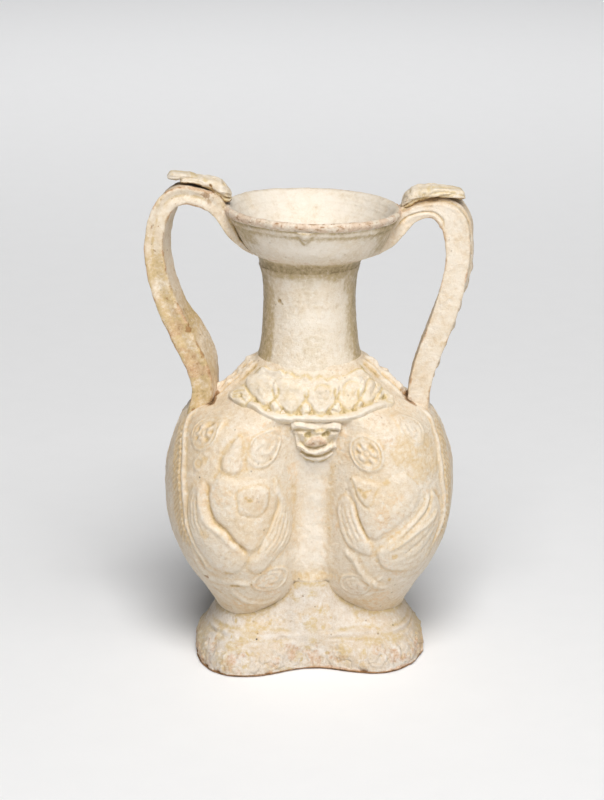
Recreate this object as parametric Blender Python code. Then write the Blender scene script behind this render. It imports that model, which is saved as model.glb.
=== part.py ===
"""Double-bodied amphora vase: two press-moulded bodies side by side on one
figure-eight foot, joined under a neck with a dish mouth and two strap handles.
Metres, +Z up.  Origin at the middle of the underside of the foot, the front of
the vase faces -Y, the handles stand along X."""
import math

import bmesh
import bpy

for _ob in list(bpy.data.objects):
    bpy.data.objects.remove(_ob, do_unlink=True)

# ---------------------------------------------------------------- dimensions
MM = 0.001              # everything below is in millimetres
GAP = 0.3               # luting gap between neighbouring pieces
SEAM = 0.15             # half of the gap on the front/back mould seam
WALL = 4.0              # wall of the bodies

# One body: height, half width of the vase, inner side, half depth, body axis
BODY = [
    (16.2, 32.0, 22.0, 9.0, 27.0),
    (17.5, 35.3, 18.5, 13.0, 27.0),
    (20.0, 38.1, 14.5, 16.5, 26.8),
    (23.0, 39.6, 9.0, 19.0, 26.6),
    (26.0, 41.4, 4.5, 21.2, 26.5),
    (29.0, 43.2, 1.8, 23.2, 26.5),
    (32.0, 45.2, 0.6, 25.1, 26.6),
    (36.6, 48.7, 0.2, 27.8, 27.0),
    (45.0, 53.0, 0.2, 31.6, 28.0),
    (54.0, 56.0, 0.2, 33.9, 29.0),
    (62.5, 57.6, 0.2, 34.9, 29.5),
    (71.0, 58.0, 0.2, 35.1, 29.5),
    (80.0, 57.6, 0.2, 34.7, 29.0),
    (88.0, 55.7, 0.2, 33.8, 28.0),
    (96.6, 52.5, 0.2, 32.3, 26.0),
    (101.0, 49.7, 0.2, 31.0, 24.0),
    (104.0, 45.8, 0.2, 29.6, 20.0),
    (107.0, 39.4, 0.2, 28.0, 13.0),
    (112.0, 33.6, 0.2, 25.3, 5.0),
    (118.0, 27.6, 0.2, 22.6, 0.5),
    (124.6, 20.9, 0.2, 20.6, 0.45),
]
BODY_POLE_Z = 15.6      # lowest point of a body, inside the foot
BODY_FLOOR_Z = 20.6     # level of the inside floor of a body
BODY_INNER_Z = (20.9, 24.0, 30.0, 38.0, 50.0, 63.0, 76.0, 88.0, 97.0,
                103.0, 108.0, 115.0, 124.6)
BODY_SEGMENTS = 14

# Valley fillet: height, depth of its face from the mid plane
FILLET = [(34.6, 20.8), (45.0, 20.8), (60.0, 21.2), (75.0, 22.4), (86.0, 24.0),
          (95.0, 25.8), (103.0, 27.3), (108.0, 26.4)]
FILLET_BACK = 12.0

# Foot: plan at the floor and flare of its outer face
FOOT_HALF_WIDTH = 46.9
FOOT_LOBE_X = 25.0
FOOT_HALF_DEPTH = 35.4
FOOT_WAIST_DEPTH = 27.6
FOOT_CORNER = 2.3       # roundness exponent of the corners
FOOT_TOP_Z = 34.0       # crest of the foot between the bodies
FOOT_WALL = 6.0
FOOT_FLARE = [(0.0, 0.0), (0.19, 0.21), (0.36, 0.44), (0.51, 0.67),
              (0.645, 0.86), (0.85, 0.97), (1.0, 1.0)]

# Neck and dish, radius against height
BORE_R = 14.5
NECK_OUT = [(161.0, 20.0), (158.0, 19.0), (154.0, 18.55), (147.0, 18.3),
            (138.0, 18.7), (131.0, 19.3), (127.0, 20.0), (124.9, 20.6)]
DISH_OUT = [(161.3, 19.9), (163.4, 20.4), (165.2, 21.6), (166.6, 23.6),
            (168.0, 26.3), (170.2, 28.4), (174.2, 30.4), (178.5, 32.3),
            (181.2, 33.6), (182.2, 35.1), (183.8, 35.3), (184.5, 34.6)]
DISH_IN = [(184.3, 31.3), (181.0, 29.6), (176.5, 27.0), (172.0, 23.6),
           (168.5, 18.6), (166.6, BORE_R), (161.3, BORE_R)]
DISH_TILT = 0.028       # fall of the rim towards the right handle
DISH_SHIFT = 1.0        # the rim also stands a little to the right
TURN_SEGMENTS = 40

# Collar and mask
COLLAR_LOW_Z, COLLAR_TOP_Z = 105.4, 119.6
COLLAR_LOW_X, COLLAR_TOP_X = 33.0, 19.0
COLLAR_T = 2.0
MASK_LOW_Z, MASK_TOP_Z = 87.6, 104.4
MASK_HALF_W = 8.6
MASK_T = 3.4

# Handles: middle line in X, Z from the dish wall to the shoulder
HANDLE_RIGHT = [(22.4, 166.2), (26.6, 168.0), (30.6, 170.6), (34.0, 173.8), (38.2, 177.4),
                (42.6, 180.6), (47.2, 182.9), (51.6, 183.4), (55.3, 181.8),
                (57.6, 178.0), (58.4, 172.0), (58.6, 165.0), (57.9, 157.5),
                (56.2, 150.0), (54.0, 142.0), (51.2, 134.0), (48.4, 126.0),
                (45.6, 117.5), (43.8, 110.0), (43.2, 102.0)]
HANDLE_LEFT = [(-22.0, 167.4), (-25.2, 169.2), (-28.6, 172.0), (-32.4, 176.0), (-36.6, 180.6),
               (-41.2, 185.2), (-46.2, 188.3), (-51.0, 189.4), (-55.6, 188.0),
               (-58.4, 183.2), (-59.4, 176.0), (-59.4, 168.0), (-58.8, 160.0),
               (-56.8, 152.0), (-53.8, 144.0), (-50.6, 136.0), (-47.6, 128.0),
               (-45.0, 119.5), (-43.2, 111.0), (-42.6, 102.0)]
# share of the length, half thickness, half width
HANDLE_SECTION = [(0.0, 1.5, 4.4), (0.07, 2.1, 5.2), (0.15, 2.8, 6.0),
                  (0.24, 3.3, 6.3), (0.36, 3.9, 6.4), (0.5, 4.5, 6.4),
                  (0.8, 4.4, 6.3), (1.0, 4.5, 6.0)]
# share of the length, turn of the strap about its own line (degrees)
TWIST_RIGHT = [(0.0, 2.0), (0.3, 8.0), (0.6, 7.0), (1.0, 5.0)]
TWIST_LEFT = [(0.0, -4.0), (0.3, -12.0), (0.7, -27.0), (0.88, -30.0), (1.0, -18.0)]
HANDLE_STATIONS = 34
HANDLE_SIDES = 12
SPINE_START, SPINE_END = 0.36, 0.94
SPINE_HALF_W = 1.8
SPINE_TEETH = 11

# Dragon heads: X, Z of the middle, half height, half width
HEAD_RIGHT = [(33.2, 186.0, 1.3, 2.6), (36.2, 187.0, 2.5, 4.2),
              (41.0, 188.2, 3.4, 5.0), (46.0, 189.6, 3.6, 5.2),
              (51.0, 190.1, 3.3, 4.8), (56.0, 189.4, 2.4, 4.0),
              (60.0, 188.3, 1.5, 2.8), (62.4, 187.8, 0.7, 1.4)]
HEAD_LEFT = [(-32.4, 188.0, 1.4, 2.6), (-35.2, 190.2, 2.9, 4.2),
             (-40.0, 192.6, 3.9, 5.0), (-45.0, 194.6, 3.9, 5.2),
             (-49.6, 196.2, 3.3, 4.8), (-53.2, 196.6, 2.4, 4.0),
             (-55.8, 196.2, 1.5, 2.6), (-57.4, 195.9, 0.7, 1.3)]


# ------------------------------------------------------------------- helpers
def table(rows, x, col=1):
    """Smooth monotone reading of a table of rows sorted by their first value."""
    rows = sorted(rows)
    xs = [r[0] for r in rows]
    ys = [r[col] for r in rows]
    if x <= xs[0]:
        return ys[0]
    if x >= xs[-1]:
        return ys[-1]
    n = len(xs)
    h = [xs[i + 1] - xs[i] for i in range(n - 1)]
    d = [(ys[i + 1] - ys[i]) / h[i] for i in range(n - 1)]

    def slope(i):
        if i == 0:
            return d[0]
        if i == n - 1:
            return d[-1]
        if d[i - 1] * d[i] <= 0:
            return 0.0
        w1, w2 = 2 * h[i] + h[i - 1], h[i] + 2 * h[i - 1]
        return (w1 + w2) / (w1 / d[i - 1] + w2 / d[i])

    i = max(k for k in range(n - 1) if xs[k] <= x)
    t = (x - xs[i]) / h[i]
    a, b = slope(i) * h[i], slope(i + 1) * h[i]
    return ((2 * t ** 3 - 3 * t ** 2 + 1) * ys[i] + (t ** 3 - 2 * t ** 2 + t) * a
            + (-2 * t ** 3 + 3 * t ** 2) * ys[i + 1] + (t ** 3 - t ** 2) * b)


def power(v, n):
    return math.copysign(abs(v) ** (2.0 / n), v)


def smooth(t):
    t = min(1.0, max(0.0, t))
    return t * t * (3 - 2 * t)


MATERIALS = {}


def material(name, colour, roughness):
    if name not in MATERIALS:
        mat = bpy.data.materials.new(name)
        mat.use_nodes = True
        bsdf = mat.node_tree.nodes["Principled BSDF"]
        bsdf.inputs["Base Color"].default_value = (*colour, 1.0)
        bsdf.inputs["Roughness"].default_value = roughness
        bsdf.inputs["Metallic"].default_value = 0.0
        MATERIALS[name] = mat
    return MATERIALS[name]


def build(name, verts, faces, mat, cutter=False):
    """One object from points in millimetres, with its faces turned outwards."""
    bm = bmesh.new()
    vs = [bm.verts.new((x * MM, y * MM, z * MM)) for x, y, z in verts]
    for f in faces:
        bm.faces.new([vs[i] for i in f])
    bmesh.ops.recalc_face_normals(bm, faces=bm.faces[:])
    bmesh.ops.triangulate(bm, faces=[f for f in bm.faces if len(f.verts) > 4])
    mesh = bpy.data.meshes.new(name)
    bm.to_mesh(mesh)
    bm.free()
    mesh.shade_smooth()
    mesh.set_sharp_from_angle(angle=math.radians(40))
    ob = bpy.data.objects.new(name, mesh)
    bpy.context.scene.collection.objects.link(ob)
    if cutter:
        ob.hide_render = True
        ob.display_type = "WIRE"
    else:
        mesh.materials.append(mat)
    return ob


def grid_faces(rows, cols, closed_cols=False, start=0):
    """Quads of a grid of points, row by row."""
    out = []
    span = cols if closed_cols else cols - 1
    for r in range(rows - 1):
        for c in range(span):
            a = start + r * cols + c
            b = start + r * cols + (c + 1) % cols
            out.append((a, b, b + cols, a + cols))
    return out


def loft(loops):
    """Closed solid through equal closed loops of points, with flat caps."""
    cols = len(loops[0])
    verts = [p for loop in loops for p in loop]
    faces = grid_faces(len(loops), cols, True)
    faces.append(tuple(range(cols)))
    faces.append(tuple(range((len(loops) - 1) * cols, len(loops) * cols)))
    return verts, faces


def difference(ob, cutter):
    mod = ob.modifiers.new("fit_" + cutter.name, "BOOLEAN")
    mod.operation = "DIFFERENCE"
    mod.solver = "EXACT"
    mod.object = cutter


GLAZE = material("glaze_body", (0.80, 0.71, 0.57), 0.35)
GLAZE_RELIEF = material("glaze_relief", (0.76, 0.66, 0.48), 0.38)
GLAZE_NECK = material("glaze_neck", (0.82, 0.75, 0.63), 0.32)
GLAZE_HANDLE = material("glaze_handle", (0.74, 0.62, 0.46), 0.42)
CLAY_FOOT = material("foot_clay", (0.70, 0.55, 0.42), 0.6)


# -------------------------------------------------------------------- bodies
def body_row(z, inset=0.0):
    """Half width, inner side, half depth and axis of a body at a height."""
    w = table(BODY, z, 1) - inset
    x_in = table(BODY, z, 2) + inset
    b = table(BODY, z, 3) - inset
    c = min(max(table(BODY, z, 4), x_in + 0.1), w - 0.1)
    return w, x_in, b, c


def body_point(z, t, inset=0.0):
    w, x_in, b, c = body_row(z, inset)
    ct, st = math.cos(t), math.sin(t)
    return c + ct * ((w - c) if ct > 0 else (c - x_in)), b * st, z


def inside_body(x, y, z):
    w, x_in, b, c = body_row(z)
    a = (w - c) if x > c else (c - x_in)
    return ((x - c) / a) ** 2 + (y / b) ** 2 < 1.0


def body_underside(x, y, limit):
    """Height of the underside of a body over a point of the plan."""
    if not inside_body(x, y, limit):
        return limit
    lo, hi = BODY[0][0], limit
    for _ in range(40):
        mid = 0.5 * (lo + hi)
        if inside_body(x, y, mid):
            hi = mid
        else:
            lo = mid
    return hi


def body_shell(name, side, half):
    """Quarter of the double body: one moulded half of one body."""
    n = BODY_SEGMENTS + 1
    ts = [math.pi * k / BODY_SEGMENTS for k in range(n)]
    verts = []

    def ring(z, inset):
        for k, t in enumerate(ts):
            x, y, _ = body_point(z, t, inset)
            y = SEAM if k in (0, n - 1) else max(y, 2 * SEAM)
            verts.append((side * x, half * y, z))

    outer = [r[0] for r in BODY]
    for z in outer:
        ring(z, 0.0)
    inner0 = len(verts)
    for z in BODY_INNER_Z:
        ring(z, WALL)
    faces = grid_faces(len(outer), n) + grid_faces(len(BODY_INNER_Z), n, False, inner0)
    pole_out = len(verts)
    verts.append((side * BODY[0][4], half * SEAM, BODY_POLE_Z))
    pole_in = len(verts)
    verts.append((side * BODY[0][4], half * SEAM, BODY_FLOOR_Z))
    for k in range(n - 1):
        faces.append((k, k + 1, pole_out))
        faces.append((inner0 + k, inner0 + k + 1, pole_in))
    # flat seam face, from one side round under the floor to the other
    rim_a = [r * n for r in range(len(outer))][::-1]
    rim_b = [r * n + n - 1 for r in range(len(outer))]
    in_a = [inner0 + r * n for r in range(len(BODY_INNER_Z))]
    in_b = [inner0 + r * n + n - 1 for r in range(len(BODY_INNER_Z))][::-1]
    faces.append(tuple(rim_a + [pole_out] + rim_b + in_b + [pole_in] + in_a))
    # flat ring under the neck
    top_o = [(len(outer) - 1) * n + k for k in range(n)]
    top_i = [inner0 + (len(BODY_INNER_Z) - 1) * n + k for k in range(n)]
    for k in range(n - 1):
        faces.append((top_o[k], top_o[k + 1], top_i[k + 1], top_i[k]))
    return build(name, verts, faces, GLAZE)


for _side, _sn in ((-1, "left"), (1, "right")):
    for _half, _hn in ((-1, "front"), (1, "back")):
        body_shell("body_%s_%s" % (_sn, _hn), _side, _half)


# ------------------------------------------------------------ valley fillets
def body_inner_x(y, z):
    """Inner flank of a body at a depth and height."""
    w, x_in, b, c = body_row(z)
    return c - (c - x_in) * math.sqrt(max(0.0, 1.0 - (y / b) ** 2))


def fillet(name, half):
    loops = []
    for z, face in FILLET:
        side = []
        for k in range(5):
            y = FILLET_BACK + (face - FILLET_BACK) * k / 4
            side.append((body_inner_x(y, z) - 0.42, y))
        loop = [(x, half * y, z) for x, y in side]
        loop.append((side[-1][0] * 0.45, half * (face - 0.35), z))
        loop.append((-side[-1][0] * 0.45, half * (face - 0.35), z))
        loop += [(-x, half * y, z) for x, y in reversed(side)]
        loops.append(loop)
    return build(name, *loft(loops), GLAZE)


fillet("groove_fillet_front", -1)
fillet("groove_fillet_back", 1)


# ---------------------------------------------------------------------- foot
def foot_plan():
    """Floor outline and crease line under the bodies, right flank to middle."""
    floor, crease, seat = [], [], []
    flank, middle = 9, 7
    for k in range(flank):
        a = 0.5 * math.pi * k / flank
        floor.append((FOOT_LOBE_X + (FOOT_HALF_WIDTH - FOOT_LOBE_X) * power(math.cos(a), FOOT_CORNER),
                      FOOT_HALF_DEPTH * power(math.sin(a), FOOT_CORNER)))
        w, x_in, b, c = body_row(20.0)
        p = (c + (w - c) * math.cos(a), b * math.sin(a))
        crease.append((*p, body_underside(*p, FOOT_TOP_Z) - 0.5))
        p = (c + (w - c - 3.0) * math.cos(a), (b - 3.0) * math.sin(a))
        seat.append((*p, body_underside(*p, FOOT_TOP_Z) - 0.9))
    for k in range(middle + 1):
        f = k / middle
        floor.append((FOOT_LOBE_X * (1 - f),
                      0.5 * (FOOT_HALF_DEPTH + FOOT_WAIST_DEPTH)
                      + 0.5 * (FOOT_HALF_DEPTH - FOOT_WAIST_DEPTH) * math.cos(math.pi * f)))
        x = 26.8 * (1 - f)
        y = 16.4 - 0.8 * math.sin(math.pi * f) + 4.3 * smooth((f - 0.66) / 0.34)
        crease.append((x, y, body_underside(x, y, FOOT_TOP_Z) - 0.5))
        y -= 3.2 + 1.5 * f
        seat.append((x, y, body_underside(x, y, FOOT_TOP_Z) - 0.9))
    return floor, crease, seat


def foot(name, half):
    floor, crease, seat = foot_plan()
    sections = []
    for i, (f, c, s) in enumerate(zip(floor, crease, seat)):
        a = floor[max(0, i - 1)]
        b = floor[min(len(floor) - 1, i + 1)]
        tx, ty = b[0] - a[0], b[1] - a[1]
        if i == 0:
            tx, ty = 0.0, 1.0
        if i == len(floor) - 1:
            tx, ty = -1.0, 0.0
        ln = math.hypot(tx, ty)
        nx, ny = -ty / ln, tx / ln
        if nx * f[0] + ny * f[1] > 0:
            nx, ny = -nx, -ny
        loop = []
        for down, out in FOOT_FLARE:
            loop.append((c[0] + (f[0] - c[0]) * out, c[1] + (f[1] - c[1]) * out, c[2] * (1 - down)))
        loop.append((f[0] + nx * FOOT_WALL, f[1] + ny * FOOT_WALL, 0.0))
        mid = 0.52
        mx, my = c[0] + (f[0] - c[0]) * mid, c[1] + (f[1] - c[1]) * mid
        loop.append((mx + nx * 5.0, my + ny * 5.0, 0.5 * s[2]))
        loop.append(s)
        sections.append(loop)
    sections = [[(x, SEAM if i == 0 else max(y, SEAM), z) for x, y, z in loop]
                for i, loop in enumerate(sections)]
    left = [[(-x, y, z) for x, y, z in loop] for loop in sections[:-1]]
    whole = sections + left[::-1]
    return build(name, *loft([[(x, half * y, z) for x, y, z in loop] for loop in whole]), CLAY_FOOT)


foot("foot_front", -1)
foot("foot_back", 1)


# ------------------------------------------------------------- neck and dish
def turned(name, profile, mat, tilt=0.0, shift=0.0, tilt_from=0.0, tilt_full=1.0, cutter=False):
    """Ring turned from a closed profile of (z, r) points."""
    verts, n = [], TURN_SEGMENTS
    for k in range(n):
        a = 2 * math.pi * k / n
        for z, r in profile:
            x, y = r * math.cos(a), r * math.sin(a)
            lean = smooth((z - tilt_from) / (tilt_full - tilt_from))
            verts.append((x + shift * lean, y, z - x * tilt * lean))
    m = len(profile)
    faces = []
    for k in range(n):
        for j in range(m):
            a, b = k * m + j, k * m + (j + 1) % m
            c, d = ((k + 1) % n) * m + (j + 1) % m, ((k + 1) % n) * m + j
            faces.append((a, b, c, d))
    return build(name, verts, faces, mat, cutter)


def turned_solid(name, profile, grow, tilt, shift, tilt_from, tilt_full):
    """Solid of the outer profile, grown a little, used to fit what touches it."""
    n = TURN_SEGMENTS
    loops = []
    low, high = profile[0][0], profile[-1][0]
    rows = [(low - grow, profile[0][1] + grow)]
    rows += [(z, r + grow) for z, r in profile[1:-1]]
    rows += [(high + grow, profile[-1][1] + grow)]
    for z, r in rows:
        lean = smooth((z - tilt_from) / (tilt_full - tilt_from))
        turn = [2 * math.pi * k / n for k in range(n)]
        loops.append([(r * math.cos(a) + shift * lean, r * math.sin(a),
                       z - r * math.cos(a) * tilt * lean) for a in turn])
    return build(name, *loft(loops), None, True)


turned("neck", NECK_OUT + [(124.9, BORE_R), (142.0, BORE_R), (161.0, BORE_R)], GLAZE_NECK)
turned("mouth_dish", DISH_OUT + DISH_IN, GLAZE_NECK, DISH_TILT, DISH_SHIFT, 161.3, 170.0)


# ----------------------------------------------------------- collar and mask
def hull_depth(x, z):
    """Depth of the two bodies together, taken straight across the valley."""
    w, x_in, b, c = body_row(z)
    if abs(x) <= c:
        return b
    return b * math.sqrt(max(0.0, 1.0 - ((abs(x) - c) / (w - c)) ** 2))


def collar(name, half):
    cols, rows = 18, 5
    inner, outer = [], []
    for r in range(rows):
        f = r / (rows - 1)
        z = COLLAR_LOW_Z + (COLLAR_TOP_Z - COLLAR_LOW_Z) * f
        reach = COLLAR_LOW_X + (COLLAR_TOP_X - COLLAR_LOW_X) * f
        for k in range(cols + 1):
            x = reach * (2 * k / cols - 1)
            y = hull_depth(x, z)
            w, x_in, b, c = body_row(z)
            nx, ny, nz = x / w ** 2, y / b ** 2, 0.02
            ln = math.sqrt(nx * nx + ny * ny + nz * nz)
            for lst, off in ((inner, 0.55), (outer, 0.55 + COLLAR_T)):
                lst.append((x + nx / ln * off, half * (y + ny / ln * off), z + nz / ln * off))
    m = cols + 1
    verts = inner + outer
    o = len(inner)
    faces = grid_faces(rows, m) + grid_faces(rows, m, False, o)
    for k in range(cols):
        faces.append((k, k + 1, o + k + 1, o + k))
        t = (rows - 1) * m
        faces.append((t + k, t + k + 1, o + t + k + 1, o + t + k))
    for r in range(rows - 1):
        for k in (0, cols):
            a = r * m + k
            faces.append((a, a + m, o + a + m, o + a))
    return build(name, verts, faces, GLAZE_RELIEF)


collar("collar_front", -1)
collar("collar_back", 1)


def mask(name, half):
    cols, rows = 8, 8
    back, front = [], []
    for r in range(rows + 1):
        f = r / rows
        z = MASK_LOW_Z + (MASK_TOP_Z - MASK_LOW_Z) * f
        w = MASK_HALF_W * math.sqrt(1.0 - (1.0 - min(1.0, 0.2 + f * 1.6)) ** 2)
        seat = table(FILLET, z) + 0.5
        for k in range(cols + 1):
            u = 2 * k / cols - 1
            dome = (1 - 0.75 * u * u) * (0.45 + 0.55 * math.sin(math.pi * (0.12 + 0.76 * f)))
            back.append((u * w, half * seat, z))
            front.append((u * w, half * (seat + 0.6 + (MASK_T - 0.6) * dome), z))
    m = cols + 1
    verts = back + front
    o = len(back)
    faces = grid_faces(rows + 1, m) + grid_faces(rows + 1, m, False, o)
    for k in range(cols):
        faces.append((k, k + 1, o + k + 1, o + k))
        t = rows * m
        faces.append((t + k, t + k + 1, o + t + k + 1, o + t + k))
    for r in range(rows):
        for k in (0, cols):
            a = r * m + k
            faces.append((a, a + m, o + a + m, o + a))
    return build(name, verts, faces, GLAZE_RELIEF)


mask("mask_front", -1)
mask("mask_back", 1)


# ------------------------------------------------------------------- handles
def handle_line(points, count):
    """Points spaced evenly on a smooth curve, with their tangents."""
    dense = []
    n = len(points)
    for i in range(n - 1):
        p0, p1 = points[max(0, i - 1)], points[i]
        p2, p3 = points[i + 1], points[min(n - 1, i + 2)]
        for k in range(16):
            t = k / 16
            dense.append(tuple(
                0.5 * (2 * p1[j] + (p2[j] - p0[j]) * t
                       + (2 * p0[j] - 5 * p1[j] + 4 * p2[j] - p3[j]) * t * t
                       + (3 * p1[j] - p0[j] - 3 * p2[j] + p3[j]) * t ** 3) for j in (0, 1)))
    dense.append(points[-1])
    acc = [0.0]
    for a, b in zip(dense, dense[1:]):
        acc.append(acc[-1] + math.dist(a, b))
    out = []
    for k in range(count):
        s = acc[-1] * k / (count - 1)
        i = max(j for j in range(len(acc)) if acc[j] <= s + 1e-9)
        i = min(i, len(acc) - 2)
        f = (s - acc[i]) / (acc[i + 1] - acc[i])
        a, b = dense[i], dense[i + 1]
        tx, tz = b[0] - a[0], b[1] - a[1]
        ln = math.hypot(tx, tz)
        out.append((k / (count - 1), a[0] + (b[0] - a[0]) * f, a[1] + (b[1] - a[1]) * f, tx / ln, tz / ln))
    return out


def handle_frame(station, side, twist):
    """Point, outward normal and width direction of a strap at a station."""
    f, x, z, tx, tz = station
    n = (-tz * side, 0.0, tx * side)      # points away from the neck
    a = math.radians(table(twist, f))
    e1 = (math.cos(a) * n[0], -math.sin(a), math.cos(a) * n[2])
    e2 = (math.sin(a) * n[0], math.cos(a), math.sin(a) * n[2])
    return (x, 0.0, z), e1, e2


def strap(name, points, side, twist, grow=0.0, cutter=False):
    loops = []
    for st in handle_line(points, HANDLE_STATIONS):
        p, e1, e2 = handle_frame(st, side, twist)
        h1 = table(HANDLE_SECTION, st[0], 1) + grow
        h2 = table(HANDLE_SECTION, st[0], 2) + grow
        loop = []
        for k in range(HANDLE_SIDES):
            a = 2 * math.pi * (k + 0.5) / HANDLE_SIDES
            u, v = h1 * power(math.cos(a), 2.7), h2 * power(math.sin(a), 2.7)
            loop.append(tuple(p[j] + u * e1[j] + v * e2[j] for j in range(3)))
        loops.append(loop)
    return build(name, *loft(loops), GLAZE_HANDLE, cutter)


def body_cutter(name, side):
    """One whole body, grown by the luting gap, to seat the end of a strap."""
    n = 2 * BODY_SEGMENTS
    loops = []
    for row in BODY[8:]:
        w, x_in, b, c = body_row(row[0], -GAP)
        x_in += GAP
        z = row[0] + GAP
        loop = []
        for k in range(n):
            t = 2 * math.pi * k / n
            ct = math.cos(t)
            loop.append((side * (c + ct * ((w - c) if ct > 0 else (c - x_in))), b * math.sin(t), z))
        loops.append(loop)
    return build(name, *loft(loops), None, True)


cut_dish = turned_solid("cut_dish", DISH_OUT, GAP, DISH_TILT, DISH_SHIFT, 161.3, 170.0)


def spine(name, points, side, twist):
    """Notched strip along the outside of a strap."""
    loops = []
    stations = [s for s in handle_line(points, 2 * SPINE_TEETH * 4 + 1)
                if SPINE_START <= s[0] <= SPINE_END]
    for i, st in enumerate(stations):
        p, e1, e2 = handle_frame(st, side, twist)
        low = table(HANDLE_SECTION, st[0], 1) + GAP
        f = (st[0] - SPINE_START) / (SPINE_END - SPINE_START)
        wave = abs(math.sin(math.pi * f * SPINE_TEETH))
        top = low + 0.9 + 1.1 * wave
        loop = []
        for u, v in ((low, -SPINE_HALF_W), (low, SPINE_HALF_W), (top - 0.5, SPINE_HALF_W),
                     (top, 0.5 * SPINE_HALF_W), (top, -0.5 * SPINE_HALF_W), (top - 0.5, -SPINE_HALF_W)):
            loop.append(tuple(p[j] + u * e1[j] + v * e2[j] for j in range(3)))
        loops.append(loop)
    return build(name, *loft(loops), GLAZE_HANDLE)


def dragon_head(name, stations, side):
    loops = []
    sides = 10
    for x, z, hh, hw in stations:
        loop = []
        for k in range(sides):
            a = 2 * math.pi * k / sides
            loop.append((x, hw * power(math.sin(a), 2.4), z + hh * power(math.cos(a), 2.4)))
        loops.append(loop)
    return build(name, *loft(loops), GLAZE_RELIEF)


for _name, _line, _side, _twist, _head in (
        ("left", HANDLE_LEFT, -1, TWIST_LEFT, HEAD_LEFT),
        ("right", HANDLE_RIGHT, 1, TWIST_RIGHT, HEAD_RIGHT)):
    _strap = strap("handle_" + _name, _line, _side, _twist)
    difference(_strap, cut_dish)
    difference(_strap, body_cutter("cut_body_" + _name, _side))
    spine("handle_spine_" + _name, _line, _side, _twist)
    _dh = dragon_head("dragon_head_" + _name, _head, _side)
    difference(_dh, strap("cut_strap_" + _name, _line, _side, _twist, GAP, True))
    difference(_dh, cut_dish)
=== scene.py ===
import math

import bmesh
import bpy
import numpy as np
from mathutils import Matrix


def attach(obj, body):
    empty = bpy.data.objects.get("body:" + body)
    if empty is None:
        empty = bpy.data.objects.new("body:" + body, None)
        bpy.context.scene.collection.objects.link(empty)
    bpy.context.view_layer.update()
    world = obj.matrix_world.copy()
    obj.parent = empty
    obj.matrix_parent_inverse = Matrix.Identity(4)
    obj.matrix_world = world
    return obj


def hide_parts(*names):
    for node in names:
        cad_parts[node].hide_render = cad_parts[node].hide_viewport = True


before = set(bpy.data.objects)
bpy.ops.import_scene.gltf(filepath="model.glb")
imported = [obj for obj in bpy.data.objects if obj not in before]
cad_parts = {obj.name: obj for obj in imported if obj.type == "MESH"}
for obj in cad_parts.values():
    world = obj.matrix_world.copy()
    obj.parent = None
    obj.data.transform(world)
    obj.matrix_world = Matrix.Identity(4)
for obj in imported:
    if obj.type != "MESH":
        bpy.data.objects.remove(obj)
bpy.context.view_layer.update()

# Double-bodied amphora vase: the glazed surface of every piece, with its moulded
# relief, and the studio around it.  Lengths below are in millimetres.
MM = 0.001


# ------------------------------------------------------------------- helpers
def table(rows, x, col=1):
    """Smooth monotone reading of a table of rows sorted by their first value."""
    rows = sorted(rows)
    xs = np.array([r[0] for r in rows], float)
    ys = np.array([r[col] for r in rows], float)
    h = np.diff(xs)
    d = np.diff(ys) / h
    m = np.zeros(len(xs))
    m[0], m[-1] = d[0], d[-1]
    for k in range(1, len(xs) - 1):
        if d[k - 1] * d[k] > 0:
            w1, w2 = 2 * h[k] + h[k - 1], h[k] + 2 * h[k - 1]
            m[k] = (w1 + w2) / (w1 / d[k - 1] + w2 / d[k])
    x = np.clip(np.asarray(x, float), xs[0], xs[-1])
    q = np.clip(np.searchsorted(xs, x, side="right") - 1, 0, len(xs) - 2)
    t = (x - xs[q]) / h[q]
    return ((2 * t ** 3 - 3 * t ** 2 + 1) * ys[q] + (t ** 3 - 2 * t ** 2 + t) * m[q] * h[q]
            + (-2 * t ** 3 + 3 * t ** 2) * ys[q + 1] + (t ** 3 - t ** 2) * m[q + 1] * h[q])


def smooth(t):
    t = np.clip(t, 0.0, 1.0)
    return t * t * (3 - 2 * t)


def bump(d, w):
    return np.exp(-(d / w) ** 2)


def power(v, n):
    return np.sign(v) * np.abs(v) ** (2.0 / n)


def lattice(i, j, k, seed):
    n = (i * 374761393 + j * 668265263 + k * 1274126177 + seed * 974634777) & 0xFFFFFFFF
    n = ((n ^ (n >> 13)) * 1274126177) & 0xFFFFFFFF
    return (n ^ (n >> 16)) / 4294967295.0


def noise(p, size, seed=0):
    """Smooth noise from -1 to 1 at points, with lumps about that size."""
    q = np.asarray(p, float) / np.asarray(size, float) + 1000.0
    base = np.floor(q).astype(np.int64)
    f = q - base
    f = f * f * f * (f * (f * 6 - 15) + 10)
    total = 0.0
    for a in (0, 1):
        wa = f[..., 0] if a else 1 - f[..., 0]
        for b in (0, 1):
            wb = f[..., 1] if b else 1 - f[..., 1]
            for c in (0, 1):
                wc = f[..., 2] if c else 1 - f[..., 2]
                total = total + wa * wb * wc * lattice(base[..., 0] + a, base[..., 1] + b,
                                                       base[..., 2] + c, seed)
    return 2 * total - 1


def lumps(p, size, octaves=3, seed=0):
    total, amp = 0.0, 1.0
    for k in range(octaves):
        total = total + amp * noise(p, np.asarray(size, float) / 2 ** k, seed + 17 * k)
        amp *= 0.5
    return total


def grid_quads(rows, cols, start=0, wrap=False):
    span = cols if wrap else cols - 1
    r, c = np.meshgrid(np.arange(rows - 1), np.arange(span), indexing="ij")
    a = start + r * cols + c
    b = start + r * cols + (c + 1) % cols
    return np.stack([a, b, b + cols, a + cols], -1).reshape(-1, 4)


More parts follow.
